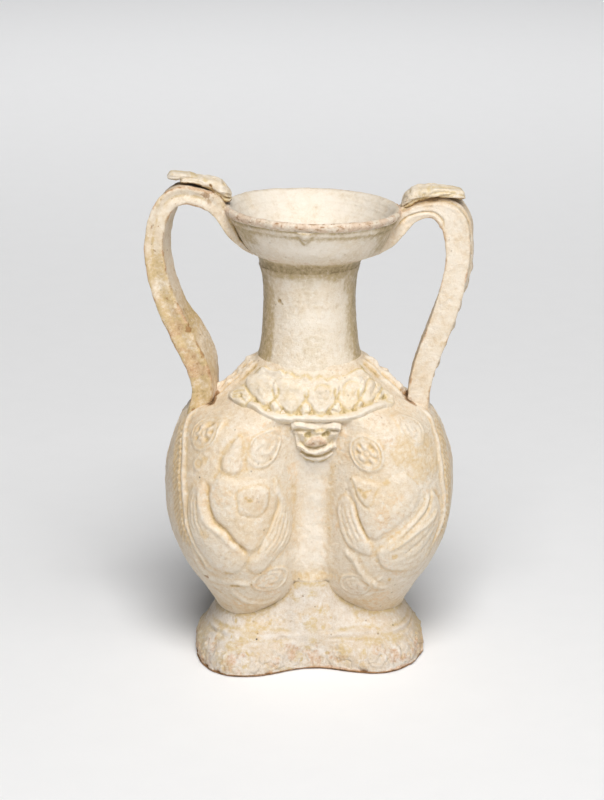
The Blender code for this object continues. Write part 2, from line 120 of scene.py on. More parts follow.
def grid_normals(p, out, wrap=False):
    """Unit normals of a grid of points, on the side of the direction given."""
    dr = np.gradient(p, axis=0)
    if wrap:
        dc = np.roll(p, -1, 1) - np.roll(p, 1, 1)
    else:
        dc = np.gradient(p, axis=1)
    n = np.cross(dr, dc)
    n /= np.maximum(np.linalg.norm(n, axis=-1, keepdims=True), 1e-9)
    return n * np.where((n * out).sum(-1, keepdims=True) < 0, -1.0, 1.0)


def blur(f, radius, wrap=False):
    """Soft average of a grid over that many cells each way."""
    for axis in (0, 1):
        total = np.zeros_like(f)
        weight = 0.0
        for k in range(-radius, radius + 1):
            w = math.exp(-(k / (0.5 * radius)) ** 2)
            if wrap and axis == 1:
                g = np.roll(f, k, 1)
            else:
                idx = np.clip(np.arange(f.shape[axis]) + k, 0, f.shape[axis] - 1)
                g = np.take(f, idx, axis)
            total += w * g
            weight += w
        f = total / weight
    return f


def zipper(a, b):
    """Triangles between two chains of point numbers of unequal length."""
    out = []
    i = j = 0
    while i < len(a) - 1 or j < len(b) - 1:
        fi = (i + 1) / max(1, len(a) - 1)
        fj = (j + 1) / max(1, len(b) - 1)
        if j >= len(b) - 1 or (i < len(a) - 1 and fi <= fj):
            out.append((a[i], a[i + 1], b[j]))
            i += 1
        else:
            out.append((a[i], b[j + 1], b[j]))
            j += 1
    return out


# colour fields: pooled glaze and painted shade, bare clay, pale glaze and painted light, rust and painted shade
FIELDS = ("pool", "bare", "high", "rust_and_shade")


def piece(node, mat, verts, faces, fields, sharp=55):
    """One finished piece in the place of a CAD node, riding on the vase."""
    name = node + "_glazed"
    verts = np.asarray(verts, float) * MM
    me = bpy.data.meshes.new(name)
    rows = []
    for f in faces:
        rows += f.tolist() if isinstance(f, np.ndarray) else [list(x) for x in f]
    me.from_pydata(verts.tolist(), [], rows)
    bm = bmesh.new()
    bm.from_mesh(me)
    bmesh.ops.recalc_face_normals(bm, faces=bm.faces[:])
    bm.to_mesh(me)
    bm.free()
    for key in FIELDS:
        values = np.zeros(len(verts), np.float32)
        got = fields.get(key)
        if got is not None:
            got = np.clip(np.asarray(got, np.float32).ravel(), 0.0, 1.0)
            values[:len(got)] = got
        me.attributes.new(key, "FLOAT", "POINT").data.foreach_set("value", values)
    me.shade_smooth()
    me.set_sharp_from_angle(angle=math.radians(sharp))
    me.materials.append(mat)
    ob = bpy.data.objects.new(name, me)
    bpy.context.scene.collection.objects.link(ob)
    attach(ob, "root")
    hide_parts(node)
    return ob


def slab(node, mat, front, back, fields, sharp=55):
    """Closed piece from a front grid of points and a back grid behind it."""
    rows, cols = front.shape[:2]
    n0 = rows * cols
    edge = ([j * cols for j in range(rows)] + [(rows - 1) * cols + c for c in range(1, cols)]
            + [j * cols + cols - 1 for j in range(rows - 2, -1, -1)] + [c for c in range(cols - 2, 0, -1)])
    m = len(edge)
    rim = [(edge[i], edge[(i + 1) % m], n0 + edge[(i + 1) % m], n0 + edge[i]) for i in range(m)]
    verts = np.concatenate([front.reshape(-1, 3), back.reshape(-1, 3)])
    return piece(node, mat, verts, [grid_quads(rows, cols), grid_quads(rows, cols, n0), rim], fields, sharp)


# ----------------------------------------------------------- drawn ornament
def curve(pts, closed=False, step=6):
    """Points on a smooth curve through a few drawn points."""
    p = np.asarray(pts, float)
    n = len(p)
    if n < 3:
        return p
    out = []
    last = n if closed else n - 1
    for i in range(last):
        if closed:
            p0, p1, p2, p3 = p[i - 1], p[i], p[(i + 1) % n], p[(i + 2) % n]
        else:
            p0, p1 = p[max(0, i - 1)], p[i]
            p2, p3 = p[i + 1], p[min(n - 1, i + 2)]
        for k in range(step):
            t = k / step
            out.append(0.5 * (2 * p1 + (p2 - p0) * t + (2 * p0 - 5 * p1 + 4 * p2 - p3) * t * t
                              + (3 * p1 - p0 - 3 * p2 + p3) * t ** 3))
    out.append(p[0] if closed else p[-1])
    return np.array(out)


class Relief:
    """Heights and glaze over a surface that is laid out flat as (a, b) in mm."""

    def __init__(self, a, b):
        self.shape = a.shape
        self.a, self.b = a.ravel(), b.ravel()
        self.h = np.zeros(self.a.size)
        self.pool = np.zeros(self.a.size)
        self.high = np.zeros(self.a.size)
        self.bare = np.zeros(self.a.size)
        self.rust_and_shade = np.zeros(self.a.size)

    def near(self, lo, hi):
        return np.nonzero((self.a > lo[0]) & (self.a < hi[0])
                          & (self.b > lo[1]) & (self.b < hi[1]))[0]

    def line(self, pts, closed=False, margin=5.0):
        c = curve(pts, closed)
        idx = self.near(c.min(0) - margin, c.max(0) + margin)
        pa, pb = self.a[idx], self.b[idx]
        best = np.full(idx.size, 1e9)
        along = np.zeros(idx.size)
        seg = np.hypot(*(c[1:] - c[:-1]).T)
        acc = np.concatenate([[0.0], np.cumsum(seg)])
        for k in range(len(c) - 1):
            d = c[k + 1] - c[k]
            l2 = max(1e-9, (d * d).sum())
            t = np.clip(((pa - c[k, 0]) * d[0] + (pb - c[k, 1]) * d[1]) / l2, 0, 1)
            dist = np.hypot(pa - c[k, 0] - t * d[0], pb - c[k, 1] - t * d[1])
            hit = dist < best
            best[hit] = dist[hit]
            along[hit] = (acc[k] + t * seg[k])[hit] / acc[-1]
        return c, idx, best, along

    def ridge(self, pts, w, h, pool=0.0, high=0.5, closed=False, fade=0.12):
        c, idx, d, u = self.line(pts, closed)
        ends = 1.0 if closed or not fade else smooth(u / fade) * smooth((1 - u) / fade)
        f = bump(d, w) * ends
        self.h[idx] += h * f
        self.high[idx] = np.maximum(self.high[idx], high * bump(d, 0.7 * w) * ends)
        if pool:
            self.pool[idx] = np.maximum(self.pool[idx], pool * bump(d - 1.9 * w, 0.75 * w) * ends)

    def groove(self, pts, w, h, pool=0.4, closed=False, fade=0.12):
        c, idx, d, u = self.line(pts, closed)
        ends = 1.0 if closed or not fade else smooth(u / fade) * smooth((1 - u) / fade)
        self.h[idx] -= h * bump(d, w) * ends
        self.pool[idx] = np.maximum(self.pool[idx], pool * bump(d, w) * ends)

    def plate(self, pts, h, edge=1.2, dome=0.0, pool=0.0, high=0.0, smooth_line=True, reach=6.0):
        """Raised area inside a closed drawn line, with a soft edge."""
        c = curve(pts, True) if smooth_line else np.asarray(list(pts) + [pts[0]], float)
        idx = self.near(c.min(0) - 3, c.max(0) + 3)
        pa, pb = self.a[idx], self.b[idx]
        inside = np.zeros(idx.size, bool)
        best = np.full(idx.size, 1e9)
        for k in range(len(c) - 1):
            (x0, y0), (x1, y1) = c[k], c[k + 1]
            if y0 != y1:
                cross = ((y0 > pb) != (y1 > pb)) & (pa < (x1 - x0) * (pb - y0) / (y1 - y0) + x0)
                inside ^= cross
            d = c[k + 1] - c[k]
            l2 = max(1e-9, (d * d).sum())
            t = np.clip(((pa - x0) * d[0] + (pb - y0) * d[1]) / l2, 0, 1)
            best = np.minimum(best, np.hypot(pa - x0 - t * d[0], pb - y0 - t * d[1]))
        sd = np.where(inside, best, -best)
        f = smooth((sd + 0.5 * edge) / edge)
        self.h[idx] += h * f + dome * f * smooth(np.clip(sd, 0, None) / reach)
        if pool:
            self.pool[idx] = np.maximum(self.pool[idx], pool * bump(sd + 0.55 * edge, 0.7 * edge))
        if high:
            self.high[idx] = np.maximum(self.high[idx], high * bump(sd - 0.9 * edge, 0.9 * edge))
        return idx, sd

    def disc(self, ca, cb, ra, rb=None, turn=0.0):
        """Round coordinates about a centre: numbers, share of the radius, angle."""
        rb = rb or ra
        m = 1.6 * max(ra, rb)
        idx = self.near((ca - m, cb - m), (ca + m, cb + m))
        x, y = self.a[idx] - ca, self.b[idx] - cb
        ct, st = math.cos(turn), math.sin(turn)
        x, y = (x * ct + y * st) / ra, (-x * st + y * ct) / rb
        return idx, np.hypot(x, y), np.arctan2(y, x)

    def spot(self, ca, cb, r, h=0.0, pool=0.0, bare=0.0, rust_and_shade=0.0, rb=None, turn=0.0):
        idx, q, _ = self.disc(ca, cb, r, rb, turn)
        f = bump(q, 0.62)
        self.h[idx] += h * f
        for key, v in (("pool", pool), ("bare", bare), ("rust_and_shade", rust_and_shade)):
            if v:
                g = getattr(self, key)
                g[idx] = np.maximum(g[idx], v * smooth((1.0 - q) / 0.45))

    def rosette(self, ca, cb, r, strong=1.0, turn=0.0, petals=5):
        """Flower in a double ring; the glaze stands ochre between its petals."""
        idx, q, ang = self.disc(ca, cb, r)
        R = q * r
        edge = smooth((1.14 - q) / 0.1)
        ang = ang + turn + 0.25 * np.sin(2 * ang + turn)
        petal = 0.5 + 0.5 * np.cos(petals * ang)
        gap = (1 - petal) ** 2
        h = 0.55 * bump(R - 0.94 * r, 0.085 * r) + 0.30 * bump(R - 0.74 * r, 0.065 * r)
        h -= 0.30 * bump(R - 0.84 * r, 0.05 * r)
        h += 0.62 * bump(R - 0.36 * r, 0.17 * r) * (0.30 + 0.70 * petal)
        h -= 0.60 * bump(R - 0.47 * r, 0.12 * r) * gap
        h += 0.30 * bump(R, 0.13 * r) - 0.25 * bump(R - 0.19 * r, 0.05 * r)
        h += 0.25 * smooth((1.0 - q) / 0.12)
        self.h[idx] += strong * h * edge
        p = 0.60 * bump(R - 0.84 * r, 0.06 * r) + 0.45 * bump(R - 1.08 * r, 0.07 * r) + 0.25 * bump(R - 0.62 * r, 0.08 * r)
        p += 1.0 * bump(R - 0.47 * r, 0.13 * r) * gap + 0.5 * bump(R - 0.19 * r, 0.05 * r)
        self.pool[idx] = np.maximum(self.pool[idx], np.clip(strong * p, 0, 1) * edge)
        self.rust_and_shade[idx] = np.maximum(self.rust_and_shade[idx], 0.30 * bump(R - 0.47 * r, 0.10 * r) * gap)
        self.high[idx] = np.maximum(self.high[idx], 0.5 * strong * bump(R - 0.93 * r, 0.06 * r))

    def roundel(self, ca, cb, ra, rb, turn=0.0, h=0.4, pool=0.4, rings=3):
        """Worn medallion: a low boss with a shallow border and a faint scroll."""
        idx, q, ang = self.disc(ca, cb, ra, rb, turn)
        f = smooth((1.05 - q) / 0.16)
        rim = bump(q - 0.95, 0.07)
        swirl = np.cos(2 * math.pi * rings * q + 2 * ang) * smooth((0.82 - q) / 0.2)
        self.h[idx] += h * f * (1 - 0.35 * q) + 0.30 * rim - 0.26 * bump(q - 0.80, 0.06) + 0.16 * swirl
        self.pool[idx] = np.maximum(self.pool[idx], pool * (bump(q - 1.08, 0.07) + 0.7 * bump(q - 0.8, 0.05))
                                    + 0.25 * pool * np.clip(-swirl, 0, 1) * f)
        self.high[idx] = np.maximum(self.high[idx], 0.35 * rim)

    def grid(self, key):
        return getattr(self, key).reshape(self.shape)


# ----------------------------------------------------------------- materials
class Shader:
    """Small helper that wires a node material."""

    def __init__(self, name):
        self.mat = bpy.data.materials.new(name)
        self.mat.use_nodes = True
        self.tree = self.mat.node_tree
        self.bsdf = self.tree.nodes["Principled BSDF"]
        self.where = self.new("ShaderNodeTexCoord").outputs["Object"]

    def new(self, kind, **props):
        n = self.tree.nodes.new(kind)
        for k, v in props.items():
            setattr(n, k, v)
        return n

    def put(self, socket, value):
        if isinstance(value, bpy.types.NodeSocket):
            self.tree.links.new(value, socket)
        elif isinstance(value, tuple):
            socket.default_value = (*value, 1.0) if len(value) == 3 else value
        else:
            socket.default_value = value

    def attr(self, name):
        return self.new("ShaderNodeAttribute", attribute_name=name).outputs["Fac"]

    def noise(self, scale, detail=3.0, rough=0.55, distort=0.0, stretch=None):
        n = self.new("ShaderNodeTexNoise")
        vec = self.where
        if stretch:
            m = self.new("ShaderNodeMapping")
            m.inputs["Scale"].default_value = stretch
            self.tree.links.new(vec, m.inputs["Vector"])
            vec = m.outputs["Vector"]
        self.tree.links.new(vec, n.inputs["Vector"])
        n.inputs["Scale"].default_value = scale
        n.inputs["Detail"].default_value = detail
        n.inputs["Roughness"].default_value = rough
        n.inputs["Distortion"].default_value = distort
        return n.outputs["Fac"]

    def cells(self, scale, feature="F1", out="Distance", randomness=1.0):
        n = self.new("ShaderNodeTexVoronoi", feature=feature)
        self.tree.links.new(self.where, n.inputs["Vector"])
        n.inputs["Scale"].default_value = scale
        n.inputs["Randomness"].default_value = randomness
        return n.outputs[out]

    def math(self, op, a, b=0.0, clamp=False):
        n = self.new("ShaderNodeMath", operation=op, use_clamp=clamp)
        self.put(n.inputs[0], a)
        self.put(n.inputs[1], b)
        return n.outputs[0]

    def step(self, value, lo, hi, to=1.0):
        n = self.new("ShaderNodeMapRange", interpolation_type="SMOOTHSTEP")
        self.put(n.inputs["Value"], value)
        n.inputs["From Min"].default_value = lo
        n.inputs["From Max"].default_value = hi
        n.inputs["To Min"].default_value = 0.0
        n.inputs["To Max"].default_value = to
        return n.outputs["Result"]

    def mix(self, fac, a, b):
        n = self.new("ShaderNodeMix", data_type="RGBA", clamp_factor=True)
        self.put(n.inputs[0], fac)
        self.put(n.inputs[6], a)
        self.put(n.inputs[7], b)
        return n.outputs[2]


def glaze(name, cream, warm, pale, pool, clay, rough=0.42, speck=0.5, wear=0.5, stained=0.4):
    """Thin lead glaze over pale clay: chalky, ochre where it pools, worn to clay, with painted shade and painted light
    from its fields.
    """
    s = Shader(name)
    big = s.noise(30, 4, 0.6, 0.4)
    mid = s.noise(135, 5, 0.66, 0.3)
    fine = s.noise(560, 5, 0.72)
    grit = s.noise(1900, 3, 0.65)
    a_pool_and_shade, a_bare, a_pale_and_highlight, a_rust_and_shade = (s.attr(k) for k in FIELDS)
    tint = tuple(c * f for c, f in zip(warm, (0.82, 0.75, 0.65)))
    ochre = tuple(c * f for c, f in zip(pool, (1.12, 1.10, 1.30)))

    col = s.mix(s.step(big, 0.40, 0.66), cream, warm)
    col = s.mix(s.step(mid, 0.47, 0.70, 0.60), col, pale)
    # chalky mottling in the thickness of the glaze
    col = s.mix(s.step(fine, 0.50, 0.70, 0.60), col, tint)
    col = s.mix(s.step(fine, 0.49, 0.32, 0.65), col, pale)
    col = s.mix(s.step(grit, 0.52, 0.74, 0.60), col, tint)
    col = s.mix(s.step(grit, 0.47, 0.30, 0.45), col, pale)
    stain_and_gap_shade = s.math("MULTIPLY", s.step(s.noise(70, 5, 0.7, 0.7), 0.50, 0.68), s.step(fine, 0.38, 0.60))
    col = s.mix(s.math("MULTIPLY", stain_and_gap_shade, stained), col, ochre)

    # thin pale glaze on high points and painted light, coloured glaze in the hollows and painted shade
    col = s.mix(s.math("MULTIPLY", a_pale_and_highlight, s.step(mid, 0.30, 0.60, 0.8)), col, pale)
    deep = s.math("MULTIPLY", a_pool_and_shade, s.math("ADD", s.step(fine, 0.30, 0.66, 0.75), 0.45), True)
    col = s.mix(s.step(deep, 0.02, 0.60, 0.78), col, pool)
    olive = tuple(c * f for c, f in zip(pool, (0.50, 0.50, 0.42)))
    col = s.mix(s.step(deep, 0.58, 1.0, 0.62), col, olive)

    # bare clay where the glaze is worn or stops
    ragged = s.math("ADD", a_bare, s.math("MULTIPLY", s.math("SUBTRACT", mid, 0.5), wear))
    ragged = s.math("ADD", ragged, s.math("MULTIPLY", s.math("SUBTRACT", fine, 0.5), 1.3 * wear))
    worn = s.step(ragged, 0.34, 0.72)
    dust = tuple(c * f for c, f in zip(clay, (0.78, 0.70, 0.62)))
    bare = s.mix(s.step(fine, 0.40, 0.66), clay, dust)
    bare = s.mix(s.step(grit, 0.50, 0.72, 0.5), bare, pale)
    col = s.mix(s.math("MULTIPLY", worn, 0.85), col, bare)

    # iron: stains and specks, and painted shade carried with the rust
    iron = s.math("ADD", a_rust_and_shade, s.math("MULTIPLY", s.math("SUBTRACT", fine, 0.5), 0.8))
    col = s.mix(s.step(iron, 0.30, 0.80, 0.85), col, (0.33, 0.165, 0.055))
    col = s.mix(s.step(iron, 0.80, 1.06, 0.85), col, (0.062, 0.032, 0.010))
    dot = s.cells(250)
    dots = s.math("MULTIPLY", s.step(dot, 0.14, 0.06), s.step(s.noise(60, 2), 0.48, 0.62))
    col = s.mix(s.math("MULTIPLY", dots, speck), col, (0.26, 0.165, 0.085))
    dot2 = s.cells(95)
    dots2 = s.math("MULTIPLY", s.step(dot2, 0.050, 0.025), s.step(s.noise(33, 2), 0.50, 0.56))
    col = s.mix(s.math("MULTIPLY", dots2, speck * 1.4, True), col, (0.055, 0.038, 0.026))
    s.put(s.bsdf.inputs["Base Color"], col)

    gloss = s.math("ADD", s.step(mid, 0.25, 0.8, 0.20), rough - 0.06)
    gloss = s.math("ADD", gloss, s.step(grit, 0.4, 0.7, 0.14))
    gloss = s.math("ADD", gloss, s.math("MULTIPLY", worn, 0.35), True)
    s.put(s.bsdf.inputs["Roughness"], gloss)
    s.bsdf.inputs["IOR"].default_value = 1.48
    s.bsdf.inputs["Coat Weight"].default_value = 0.06
    s.bsdf.inputs["Coat Roughness"].default_value = 0.25

    crackle_and_crease_shade = s.step(s.cells(330, "DISTANCE_TO_EDGE"), 0.0, 0.035)
    skin = s.math("ADD", s.math("MULTIPLY", fine, 0.9), s.math("MULTIPLY", grit, 0.42))
    skin = s.math("ADD", skin, s.math("MULTIPLY", mid, 0.8))
    skin = s.math("ADD", skin, s.math("MULTIPLY", crackle_and_crease_shade, 0.05))
    b = s.new("ShaderNodeBump")
    b.inputs["Strength"].default_value = 0.75
    b.inputs["Distance"].default_value = 0.0007
    s.put(b.inputs["Height"], skin)
    s.put(s.bsdf.inputs["Normal"], b.outputs["Normal"])
    return s.mat


CREAM = (0.770, 0.668, 0.532)
WARM = (0.738, 0.588, 0.408)
PALE = (0.842, 0.770, 0.668)
POOL_AND_SHADE = (0.680, 0.480, 0.230)
CLAY = (0.690, 0.485, 0.325)

GLAZE_BODY = glaze("glaze_body", CREAM, WARM, PALE, POOL_AND_SHADE, CLAY, 0.44, 0.55, 0.5, 0.70)
GLAZE_RELIEF = glaze("glaze_relief", (0.790, 0.698, 0.570), (0.760, 0.642, 0.480), PALE, (0.65, 0.490, 0.225),
                     CLAY, 0.44, 0.4, 0.5, 0.35)
# its pooled-glaze colour also serves as painted shade on the sides of neck and dish and under the dish
GLAZE_NECK = glaze("glaze_neck", (0.780, 0.692, 0.568), (0.755, 0.640, 0.488), (0.845, 0.778, 0.682),
                   (0.455, 0.330, 0.142), (0.720, 0.545, 0.400), 0.36, 0.30, 0.5, 0.24)
GLAZE_HANDLE = glaze("glaze_handle", (0.760, 0.650, 0.505), (0.710, 0.550, 0.368), (0.830, 0.750, 0.640),
                     (0.560, 0.398, 0.172), (0.620, 0.412, 0.248), 0.46, 0.5, 0.6, 0.45)
FOOT_CLAY = glaze("foot_clay", (0.662, 0.586, 0.497), (0.632, 0.520, 0.394), (0.728, 0.684, 0.632),
                  (0.560, 0.412, 0.185), (0.645, 0.440, 0.300), 0.52, 0.7, 0.7, 0.62)

# -------------------------------------------------------------------- bodies
# One body: height, half width of the vase, inner side, half depth, body axis
BODY = [
    (16.2, 32.0, 22.0, 9.0, 27.0), (17.5, 35.3, 18.5, 13.0, 27.0),
    (20.0, 38.1, 14.5, 16.5, 26.8), (23.0, 39.6, 9.0, 19.0, 26.6),
    (26.0, 41.4, 4.5, 21.2, 26.5), (29.0, 43.2, 1.8, 23.2, 26.5),
    (32.0, 45.2, 0.6, 25.1, 26.6), (36.6, 48.7, 0.2, 27.8, 27.0),
    (45.0, 53.0, 0.2, 31.6, 28.0), (54.0, 56.0, 0.2, 33.9, 29.0),
    (62.5, 57.6, 0.2, 34.9, 29.5), (71.0, 58.0, 0.2, 35.1, 29.5),
    (80.0, 57.6, 0.2, 34.7, 29.0), (88.0, 55.7, 0.2, 33.8, 28.0),
    (96.6, 52.5, 0.2, 32.3, 26.0), (101.0, 49.7, 0.2, 31.0, 24.0),
    (104.0, 45.8, 0.2, 29.6, 20.0), (107.0, 39.4, 0.2, 28.0, 13.0),
    (112.0, 33.6, 0.2, 25.3, 5.0), (118.0, 27.6, 0.2, 22.6, 0.5),
    (124.6, 20.9, 0.2, 20.6, 0.45),
]
FILLET = [(34.6, 20.8), (45.0, 20.8), (60.0, 21.2), (75.0, 22.4), (86.0, 24.0),
          (95.0, 25.8), (103.0, 27.3), (108.0, 26.4)]


def body_row(z, inset=0.0):
    w = table(BODY, z, 1) - inset
    x_in = table(BODY, z, 2) + inset
    b = table(BODY, z, 3) - inset
    c = np.minimum(np.maximum(table(BODY, z, 4), x_in + 0.1), w - 0.1)
    return w, x_in, b, c


def body_xy(z, t, inset=0.0):
    w, x_in, b, c = body_row(z, inset)
    ct = np.cos(t)
    return c + ct * np.where(ct > 0, w - c, c - x_in), b * np.sin(t)


def lobe_depth(x, z):
    """Half depth of a body at a distance from the middle plane."""
    w, x_in, b, c = body_row(z)
    x = np.abs(x)
    q = np.where(x > c, (x - c) / (w - c), (c - x) / (c - x_in))
    return b * np.sqrt(np.clip(1 - q * q, 0, 1))


def hull_depth(x, z):
    """Depth of the two bodies together, taken straight across the valley."""
    w, x_in, b, c = body_row(z)
    q = np.clip((np.abs(x) - c) / (w - c), 0, 1)
    return b * np.sqrt(1 - q * q)


def body_underside(x, y, limit):
    """Height of the underside of a body over points of the plan."""
    lo = np.full(x.shape, BODY[0][0])
    hi = np.full(x.shape, float(limit))

    def inside(z):
        w, x_in, b, c = body_row(z)
        a = np.where(x > c, w - c, c - x_in)
        return ((x - c) / a) ** 2 + (y / b) ** 2 < 1.0

    never = ~inside(hi)
    for _ in range(36):
        mid = 0.5 * (lo + hi)
        yes = inside(mid)
        hi = np.where(yes, mid, hi)
        lo = np.where(yes, lo, mid)
    return np.where(never, limit, hi)


def leaf_lines(r, lines, w=0.5, h=0.4, pool=0.45):
    for pts in lines:
        r.groove(pts, w, h, pool, fade=0.2)


def feather(r, inner, outer, shares, w=0.42, h=0.42, pool=0.42, upto=1.0):
    """Fine grooves that run between the two edges of a leaf."""
    ends = []
    for pts in (inner, outer):
        c = curve(pts)
        acc = np.concatenate([[0.0], np.cumsum(np.hypot(*np.diff(c, axis=0).T))]) / 1.0
        u = np.linspace(0.04, 0.96, 14) * acc[-1]
        ends.append(np.stack([np.interp(u, acc, c[:, 0]), np.interp(u, acc, c[:, 1])], -1))
    keep = max(4, int(round(14 * upto)))
    for share in shares:
        pts = ((1 - share) * ends[0] + share * ends[1])[:keep]
        r.groove(pts[::2] if keep > 7 else pts, w, h, pool, fade=0.22)
        r.ridge((pts + 0.5 * (ends[0] - ends[1])[:keep] * 0.07)[::2] if keep > 7 else pts, 0.5, 0.16, 0.0, 0.5, fade=0.22)


def motif_first(r):
    """Lobe with a rosette high on the flank, a jewel and an open palmette."""
    r.rosette(19.4, 84.0, 6.7, 1.0, 0.3)
    r.roundel(-7.7, 79.5, 7.0, 7.5, 0.0, 0.45, 0.5, 2)
    r.groove([(0.0, 83.5), (-1.2, 79.0), (-0.9, 74.5), (-3.2, 70.5)], 0.9, 0.25, 0.55)
    jewel = [(4.1, 84.6), (1.7, 79.5), (-0.1, 75.2), (0.7, 71.6), (3.6, 70.2), (6.9, 71.4),
             (8.1, 75.0), (6.6, 79.6)]
    r.plate(jewel, 0.60, 1.7, 0.35, 0.5, 0.4)
    r.groove([(8.6, 80.0), (9.4, 75.0), (8.6, 70.4), (11.5, 66.8)], 0.8, 0.25, 0.55)
    idx, q, _ = r.disc(18.3, 72.2, 2.6)
    r.h[idx] += 0.35 * bump(q - 0.9, 0.22) + 0.25 * bump(q, 0.35)
    r.pool[idx] = np.maximum(r.pool[idx], 0.55 * bump(q - 0.5, 0.2))
    r.spot(15.6, 74.2, 2.2, pool=0.45, rust_and_shade=0.18)

    # heart of the palmette with its bud
    heart = [(11.0, 63.6), (8.9, 67.0), (5.2, 68.1), (1.4, 67.4), (-1.6, 68.3), (-6.0, 67.2),
             (-11.0, 66.2), (-14.4, 62.0), (-15.6, 57.0), (-14.0, 51.0), (-11.5, 46.0), (-8.6, 40.5),
             (-5.2, 37.6), (-2.2, 39.2), (1.4, 42.8), (5.8, 47.3), (9.6, 51.4), (11.4, 55.5), (12.0, 60.2)]
    r.plate(heart, 0.50, 2.0, 0.5, 0.0, 0.3)
    bud = [(0.6, 63.0), (0.2, 58.0), (-0.4, 54.3), (-4.6, 53.3), (-8.4, 53.8), (-10.9, 56.2),
           (-11.2, 60.2), (-10.4, 63.8), (-4.8, 65.2)]
    r.plate(bud, 0.45, 1.1, 0.3, 0.45, 0.3)
    r.groove([(1.0, 64.2), (0.7, 58.0), (0.1, 53.2)], 0.55, 0.4, 0.35)
    r.groove([(-0.2, 53.2), (-5.0, 52.4), (-9.2, 53.0), (-11.9, 56.0), (-12.0, 61.0)], 0.5, 0.3, 0.3)
    r.spot(-4.3, 59.9, 1.9, -0.25, pool=1.0, rb=1.3)
    r.spot(-2.4, 61.2, 0.9, -0.12, pool=0.9)
    r.groove([(4.6, 64.0), (2.6, 62.4), (1.0, 63.0)], 0.5, 0.3, 0.5)
    r.groove([(8.5, 60.5), (6.0, 57.0), (5.0, 53.0)], 0.9, 0.15, 0.25)

    # outer leaves, feathered
    left = [(16.8, 65.0), (20.2, 62.2), (22.0, 57.3), (22.5, 52.1), (21.2, 46.3), (19.0, 39.5),
            (16.4, 33.5), (13.6, 29.6), (9.1, 27.9), (4.6, 27.4), (0.5, 29.2), (-2.2, 34.8),
            (1.2, 39.8), (6.0, 44.6), (10.6, 48.6), (13.2, 54.2), (14.0, 60.2), (14.2, 64.8)]
    r.plate(left, 0.60, 1.9, 0.25, 0.30, 0.35)
    r.ridge([(16.3, 64.6), (16.3, 58.5), (14.9, 52.7), (11.4, 48.6), (6.4, 45.0), (2.0, 41.0), (-1.6, 37.2)],
            1.0, 0.55, 0.0, 0.75)
    r.groove([(12.7, 66.0), (12.7, 60.3), (11.7, 54.9), (9.2, 50.0), (4.8, 45.8), (0.2, 41.2), (-3.3, 37.0)],
             0.95, 0.55, 0.42, fade=0.06)
    feather(r, left[::-1][:7], left[:9], (0.45, 0.66, 0.86), 0.42, 0.42, 0.45, 0.75)
    r.spot(13.6, 44.4, 2.6, pool=0.5, rust_and_shade=0.10)
    right = [(-15.2, 66.4), (-17.8, 61.1), (-22.6, 53.9), (-24.8, 47.6), (-23.4, 41.6), (-19.3, 36.8),
             (-13.0, 32.3), (-7.0, 27.0), (-3.0, 28.4), (-3.4, 33.6), (-6.4, 37.0), (-9.4, 42.0),
             (-12.2, 46.6), (-15.0, 51.2), (-16.8, 55.6), (-15.4, 60.4)]
    r.plate(right, 0.55, 1.8, 0.25, 0.35, 0.35)
    r.groove([(-15.4, 62.0), (-17.2, 56.0), (-15.2, 51.0), (-12.6, 46.4), (-10.2, 42.0), (-7.4, 37.2),
              (-4.8, 33.0)], 0.6, 0.55, 0.4)
    feather(r, [(-15.4, 60.4), (-16.8, 55.6), (-15.0, 51.2), (-12.2, 46.6), (-9.4, 42.0), (-6.4, 37.0), (-3.4, 33.6)],
            right[1:8], (0.18, 0.36, 0.54, 0.72, 0.88), 0.40, 0.42, 0.42)
    r.spot(6.0, 26.6, 3.6, -0.2, pool=0.55, rb=1.2, turn=0.1)

    # small medallion and tendrils below
    r.roundel(-11.0, 22.0, 8.3, 5.6, math.atan2(-7.3, 15.0), 0.35, 0.45, 2)
    r.ridge([(22.6, 34.4), (18.6, 26.0), (14.2, 22.0), (6.6, 21.0), (2.2, 21.0), (-3.0, 19.0)], 1.2, 0.45, 0.4)
    r.ridge([(6.5, 17.2), (3.3, 12.8), (-1.5, 8.8), (-8.2, 7.7), (-14.3, 10.1)], 1.1, 0.4, 0.4)
    r.spot(4.2, 19.4, 2.4, -0.3, pool=1.0, rb=1.4)
    r.spot(16.4, 22.6, 2.0, pool=0.4, rust_and_shade=0.75, rb=1.3)
    r.groove([(16.0, 17.0), (10.0, 12.5), (4.0, 8.5)], 0.9, 0.25, 0.4)

    border = [(36.5, 90.0), (33.3, 84.6), (30.3, 78.9), (27.9, 72.2), (26.0, 64.2), (24.9, 55.6),
              (23.9, 47.9), (21.4, 40.2), (17.6, 33.0), (13.5, 26.0)]
    flank_border(r, border)


